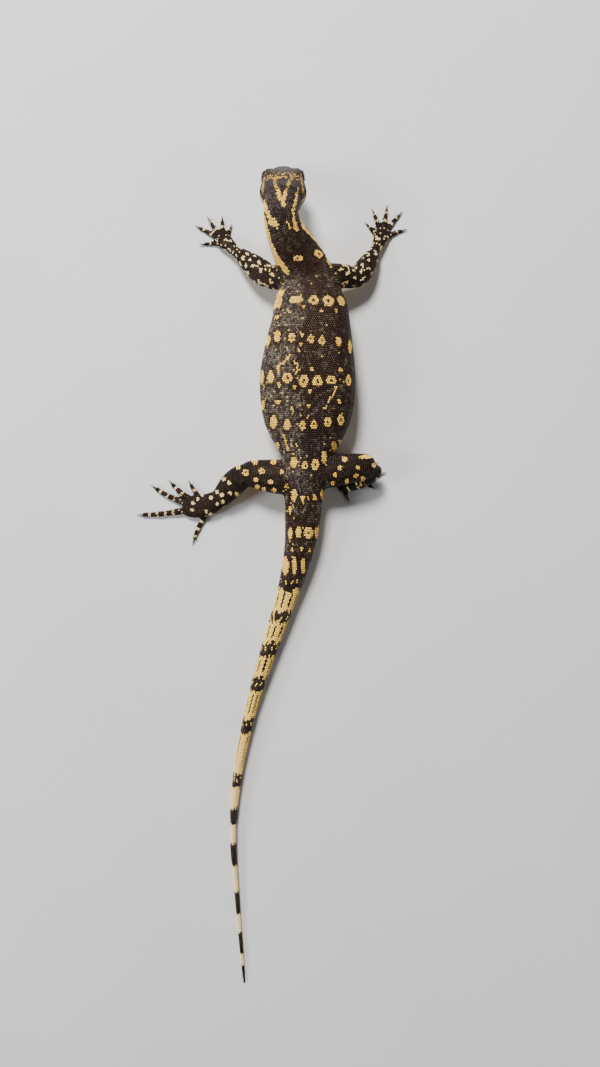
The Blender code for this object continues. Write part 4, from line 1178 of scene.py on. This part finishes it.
def scales(name, chosen, height, keel, finish):
    """One joined piece of all the chosen scales."""
    count = int(chosen.sum())
    place, normal, ahead, across = (root[key][chosen][:, None, :]
                                    for key in ("place", "normal", "ahead", "across"))
    span = spans[chosen]
    tall = (height * span.mean(axis=1) * 2 * (0.9 + 0.2 * chance.random(count)))[:, None, None]
    fore = span[:, [0, CORNERS - 1]].mean(axis=1)[:, None, None]
    aft = span[:, [CORNERS // 2 - 1, CORNERS // 2]].mean(axis=1)[:, None, None]
    cosine, sine = ways[:, None, :, None]
    span = span[:, :, None]
    rim = ahead * cosine * span + across * sine * span
    places = np.concatenate((
        place + rim - normal * ROOTED,
        place + rim * SHOULDER + normal * tall * SHOULDER_HIGH,
        place - ahead * aft * KEEL_BACK + normal * tall * KEEL_BACK_HIGH,
        place + ahead * fore * KEEL_FRONT + normal * tall * (1.0 + keel)), axis=1)
    places[:, :, 2] = np.maximum(places[:, :, 2], 0.0)
    n = CORNERS
    loops = [tuple(range(n))[::-1]]
    for i in range(n):
        j = (i + 1) % n
        loops.append((i, j, n + j, n + i))
        ends = [2 * n + 1 if ways[0][k] > 0 else 2 * n for k in (j, i)]
        loops.append((n + i, n + j, *ends) if ends[0] != ends[1] else (n + i, n + j, ends[0]))
    size = 2 * n + 2
    corners = np.concatenate([np.array(loop) for loop in loops])
    starts = np.cumsum([0] + [len(loop) for loop in loops[:-1]])
    every = (np.arange(count)[:, None] * size + corners).ravel()
    mesh = bpy.data.meshes.new(name)
    mesh.vertices.add(count * size)
    mesh.loops.add(count * len(corners))
    mesh.polygons.add(count * len(loops))
    mesh.vertices.foreach_set("co", (places * MM).ravel())
    mesh.loops.foreach_set("vertex_index", every)
    mesh.polygons.foreach_set(
        "loop_start", (np.arange(count)[:, None] * len(corners) + starts).ravel())
    mesh.update(calc_edges=True)
    mesh.validate()
    own = {"pale": pale, "dark": dark, "tone": tone, "grizzle": grizzle, "limb": whiter}
    lay_down(mesh, **{key: np.repeat(values[chosen], size) for key, values in own.items()})
    lay_down(mesh, rise=np.tile(np.repeat(RISE, (n, n, 2)), count))

    # On the flat sheet every course has a strip of its own, cut open along its underside.
    group, at = root["course"][chosen], root["at"][chosen]
    kinds, band = np.unique(group, return_inverse=True)
    first, last = (np.array([pick(at[group == kind]) for kind in kinds])[band]
                   for pick in (np.min, np.max))
    round_it = (root["angle"][chosen] % (2 * math.pi)) / (2 * math.pi)
    inner = 1 - 2 * BAKE_MARGIN
    u = BAKE_MARGIN + inner * (at - first) / np.maximum(last - first, 1.0)
    v = (band + BAKE_MARGIN + inner * round_it) / len(kinds)
    shape = np.concatenate((ways.T * 0.5, ways.T * 0.4, [[-0.2, 0.0], [0.2, 0.0]])) * BAKE_PATCH
    sheet = np.stack((u, v), axis=1)[:, None, :] + shape
    mesh.uv_layers.new(name="OFBake").data.foreach_set("uv", sheet.reshape(-1, 2)[every].ravel())
    mesh.materials.append(finish.material)
    mesh.shade_smooth()
    piece = bpy.data.objects.new(name, mesh)
    scene.collection.objects.link(piece)
    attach(piece, "root")


BLACKS = (0.0080, 0.0014, 0.0003), (0.0150, 0.0044, 0.0018)
SLATE_SHEEN = (0.0140, 0.0070, 0.0080)
GREYS = (0.036, 0.028, 0.022), (0.20, 0.170, 0.125)
DUSTY_SEAM = (0.18, 0.15, 0.125)
STRAWS = (0.80, 0.42, 0.040), (0.95, 0.66, 0.150)
CREAM = (0.95, 0.78, 0.42)
JET = (0.006, 0.003, 0.002)
SHEEN = (1.0, 0.74, 0.58, 1.0)
# Sizes of its patches in millimetres, and how deep the grain is.
GRAIN = 1.3
CLOUDS = 14.0
WIDE_CLOUDS = 30.0
GRAIN_DEEP = 0.03


def coat_finish(name, shade, gloss, rough):
    """Horny scale or the hide between: black-brown with slate patches painted in as sheen,
    straw-yellow marks, and painted shade darkening each scale towards its rim and the hide and
    lids between scales.
    """
    finish = Finish(name, Specular_IOR_Level=gloss, Specular_Tint=SHEEN)
    tone, rise, grizzled, limb, marked, blackened = (
        finish.value(key) for key in ("tone", "rise", "grizzle", "limb", "pale", "dark"))
    grain = finish.noise(GRAIN, 4.0)
    black = finish.mix(finish.noise(CLOUDS), *BLACKS)
    # Painted sheen: slate patches in wide clouds over the black.
    ground = finish.mix(finish.between(finish.noise(WIDE_CLOUDS, 1.0), 0.45, 0.65), black, SLATE_SHEEN)
    ground = finish.mix(grizzled * 0.68, ground, finish.mix(tone, *GREYS))
    ground = finish.mix((1.0 - rise) * (0.03 + 0.40 * grizzled), ground, DUSTY_SEAM)
    straw = finish.mix(limb * 0.8, finish.mix(tone, *STRAWS), CREAM)
    coat = finish.mix(finish.between(marked, 0.3, 0.7), ground, straw)
    coat = finish.shaded(0.78 + 0.22 * grain, finish.mix(blackened * 0.96, coat, JET))
    # Painted shade: each scale darkens to half at its rim, and the hide and lids, which lie
    # between the scales, are darkened further by shade; tone varies at random.
    tone_and_painted_shade = (0.50 + 0.50 * rise) * (0.85 + 0.3 * tone) * shade
    finish.colour(finish.shaded(tone_and_painted_shade, coat))
    finish.roughness(rough + 0.18 * grain)
    finish.bump(grain, GRAIN_DEEP, 0.5)
    return finish


# Each stretch of the body: name, from y to y, keel over height. Then height of the scales over
# their width, and keels of the head and legs.
STRETCHES = (
    ("neck", -math.inf, -40.0, 0.10), ("shoulders", -40.0, -14.0, 0.10),
    ("back", -14.0, 12.0, 0.10), ("loins", 12.0, 52.0, 0.10),
    ("tail_root", 52.0, 130.0, 0.22), ("tail", 130.0, math.inf, 0.22),
)
HEAD_HEIGHT, HEAD_KEEL = 0.12, 0.02
BODY_HEIGHT, LEG_KEEL = 0.17, 0.04

ways, spans = cells()
scale_finish = coat_finish("scales", shade=1.0, gloss=0.22, rough=0.21)
scales("scales_head", on_head, HEAD_HEIGHT, HEAD_KEEL, scale_finish)
for name, start, end, keel in STRETCHES:
    chosen = on_spine & (y >= start) & (y < end)
    scales("scales_" + name, chosen, BODY_HEIGHT, keel, scale_finish)
for limb in TOES:
    chosen = np.char.find(names, limb) >= 0
    for length in ("shank", "foot"):
        chosen |= names == limb.replace("leg", length)
    scales("scales_" + limb, chosen, BODY_HEIGHT, LEG_KEEL, scale_finish)

# The hide and lids take the colours of the three scales nearest to each of their points, pale only
# where all of those are, and are painted black in the nostrils, ears and the slit of the mouth, as
# the shade in those openings.
PIT_SHADE_BLACK = 1.6
EVEN_TONE = 0.5
laid = tree_of(root["place"])


def colour_hide(piece, finish, black):
    """Colours laid on a piece of hide, with its finish; black is 1 where it is painted black as
    shade and shows no mark.
    """
    beside = np.array([[i for _, i, _ in laid.find_n(place, 3)] for place in read(piece.data)])
    lay_down(piece.data, pale=pale[beside].min(axis=1), grizzle=grizzle[beside].mean(axis=1),
             dark=np.maximum(dark[beside].mean(axis=1), black),
             limb=whiter[beside].mean(axis=1), tone=np.full(len(beside), EVEN_TONE),
             rise=np.zeros(len(beside)))
    piece.data.materials.append(finish.material)


colour_hide(hide, coat_finish("hide", shade=0.6, gloss=0.12, rough=0.6),
            np.clip(PIT_SHADE_BLACK * pit_shade, 0.0, 1.0))
lid_finish = coat_finish("lid_skin", shade=0.7, gloss=0.12, rough=0.6)
for name in ("lids_left", "lids_right"):
    colour_hide(bpy.data.objects[name], lid_finish, 0.0)


# The eyes. Wet black-brown balls with a round pupil in a thin gold ring, bulging at the
# cornea, free in their sockets behind the lids.
BALL_RADIUS = EYE_RADIUS - 0.06
IRIS = math.radians(33)
CORNEA_RISE = 0.16
EYE_TURNS = 40
EYE_STEPS = 30
FIBRES = 1400.0
# Colours outwards from the pupil's middle, as a share of a right angle.
EYE_RINGS = (
    (0.0, (0.001, 0.001, 0.001)), (0.162, (0.001, 0.001, 0.001)), (0.172, (0.50, 0.29, 0.075)),
    (0.195, (0.26, 0.13, 0.035)), (0.225, (0.040, 0.016, 0.007)), (0.34, (0.018, 0.008, 0.005)),
    (0.375, (0.002, 0.0015, 0.0015)), (1.0, (0.004, 0.003, 0.003)))

eye_finish = Finish("wet_eye", Roughness=0.16, Coat_Weight=0.12, Coat_Roughness=0.04,
                    Specular_IOR_Level=0.3)
fibres = eye_finish.node("TexNoise", None, {"Vector": eye_finish.node("NewGeometry"),
                                            "Scale": FIBRES, "Detail": 3.0})
rings = eye_finish.node("ValToRGB", {"stops": EYE_RINGS}, {"Fac": eye_finish.value("from_axis")})
eye_finish.colour(eye_finish.shaded(0.55 + 0.45 * fibres, rings))
for side, name in ((1, "eye_left"), (-1, "eye_right")):
    centre, out, ahead, high = eye_frame(side)
    points, loops, bends = [centre + out * (BALL_RADIUS + CORNEA_RISE)], [], [0.0]
    for i in range(1, EYE_STEPS):
        bend = math.pi * i / EYE_STEPS
        radius = BALL_RADIUS + CORNEA_RISE * max(0.0, 1 - (bend / IRIS) ** 2) ** 0.8
        for j in range(EYE_TURNS):
            turn = 2 * math.pi * j / EYE_TURNS
            across = ahead * math.cos(turn) + high * math.sin(turn)
            points.append(centre + (out * math.cos(bend) + across * math.sin(bend)) * radius)
            bends.append(bend / (math.pi / 2))
    points.append(centre - out * BALL_RADIUS)
    bends.append(2.0)
    last = len(points) - 1
    for j in range(EYE_TURNS):
        k = (j + 1) % EYE_TURNS
        loops.append((0, 1 + j, 1 + k))
        loops.append((last, last - EYE_TURNS + k, last - EYE_TURNS + j))
        for i in range(EYE_STEPS - 2):
            a, b = 1 + i * EYE_TURNS, 1 + (i + 1) * EYE_TURNS
            loops.append((a + j, b + j, b + k, a + k))
    if side < 0:
        loops = [loop[::-1] for loop in loops]
    eye = mesh_piece("ball_of_" + name, [point * MM for point in points], loops, eye_finish)
    lay_down(eye.data, from_axis=bends)
    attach(eye, "root")
    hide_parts(name)


# The claws. Curved, sharp, flattened sideways, of dark horn paler at the tip, each growing out
# of the end of its toe.
CLAW_RADIUS = 0.62
CLAW_DROP = 0.45
CLAW_ARCH = 0.34
CLAW_FLAT = 0.72       # width over height
CLAW_BELOW = 0.85      # depth below its middle line over that above
CLAW_TAPER = 0.86
CLAW_SIDES = 12
CLAW_RINGS = 14
CLAW_SUNK = 0.55
HORN = ((0.0, (0.016, 0.009, 0.006)), (0.5, (0.040, 0.019, 0.011)),
        (0.85, (0.13, 0.075, 0.045)), (1.0, (0.24, 0.16, 0.10)))

claw_finish = Finish("claw_horn", Roughness=0.34, Coat_Weight=0.15, Coat_Roughness=0.15)
grain = claw_finish.noise(0.5)
horn = claw_finish.node("ValToRGB", {"stops": HORN}, {"Fac": claw_finish.value("tip")})
claw_finish.colour(claw_finish.shaded(0.7 + 0.3 * grain, horn))
claw_finish.bump(grain, 0.02, 0.4)
for limb in TOES:
    kind = "hand" if limb.startswith("arm") else "foot"
    side = limb.split("_")[1]
    long = CLAW_LENGTH[limb[:3]]
    sunk = CLAW_SUNK / long
    points, loops, tips = [], [], []
    for number in range(1, 6):
        before, end = np.array(toe_lines[limb, number])[-2:, :3]
        ahead = unit((end - before) * (1, 1, 0))
        across = np.array((-ahead[1], ahead[0], 0.0))
        start = end + ahead * CLAW_GAP
        first = len(points)
        for i in range(CLAW_RINGS):
            part = -sunk + (1 + sunk) * i / (CLAW_RINGS - 1)
            on = max(part, 0.0)
            lift = CLAW_ARCH * math.sin(math.pi * on) - (end[2] - CLAW_DROP) * on ** 1.6
            centre = start + ahead * long * part + np.array((0.0, 0.0, lift))
            size = CLAW_RADIUS * (1 - CLAW_TAPER * on ** 1.15)
            for j in range(CLAW_SIDES):
                turn = 2 * math.pi * j / CLAW_SIDES
                high = math.sin(turn) * size * (1.0 if math.sin(turn) > 0 else CLAW_BELOW)
                points.append(centre + across * math.cos(turn) * CLAW_FLAT * size
                              + np.array((0.0, 0.0, high)))
                tips.append(on)
        for i in range(CLAW_RINGS - 1):
            for j in range(CLAW_SIDES):
                a, k = first + i * CLAW_SIDES, (j + 1) % CLAW_SIDES
                loops.append((a + j, a + k, a + CLAW_SIDES + k, a + CLAW_SIDES + j))
        loops.append(tuple(range(first, first + CLAW_SIDES))[::-1])
        loops.append(tuple(range(len(points) - CLAW_SIDES, len(points))))
    claws = mesh_piece("claws_" + limb, [point * MM for point in points], loops, claw_finish)
    lay_down(claws.data, tip=tips)
    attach(claws, "root")
    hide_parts(*[f"claw_{kind}_{side}_{number}" for number in range(1, 6)])
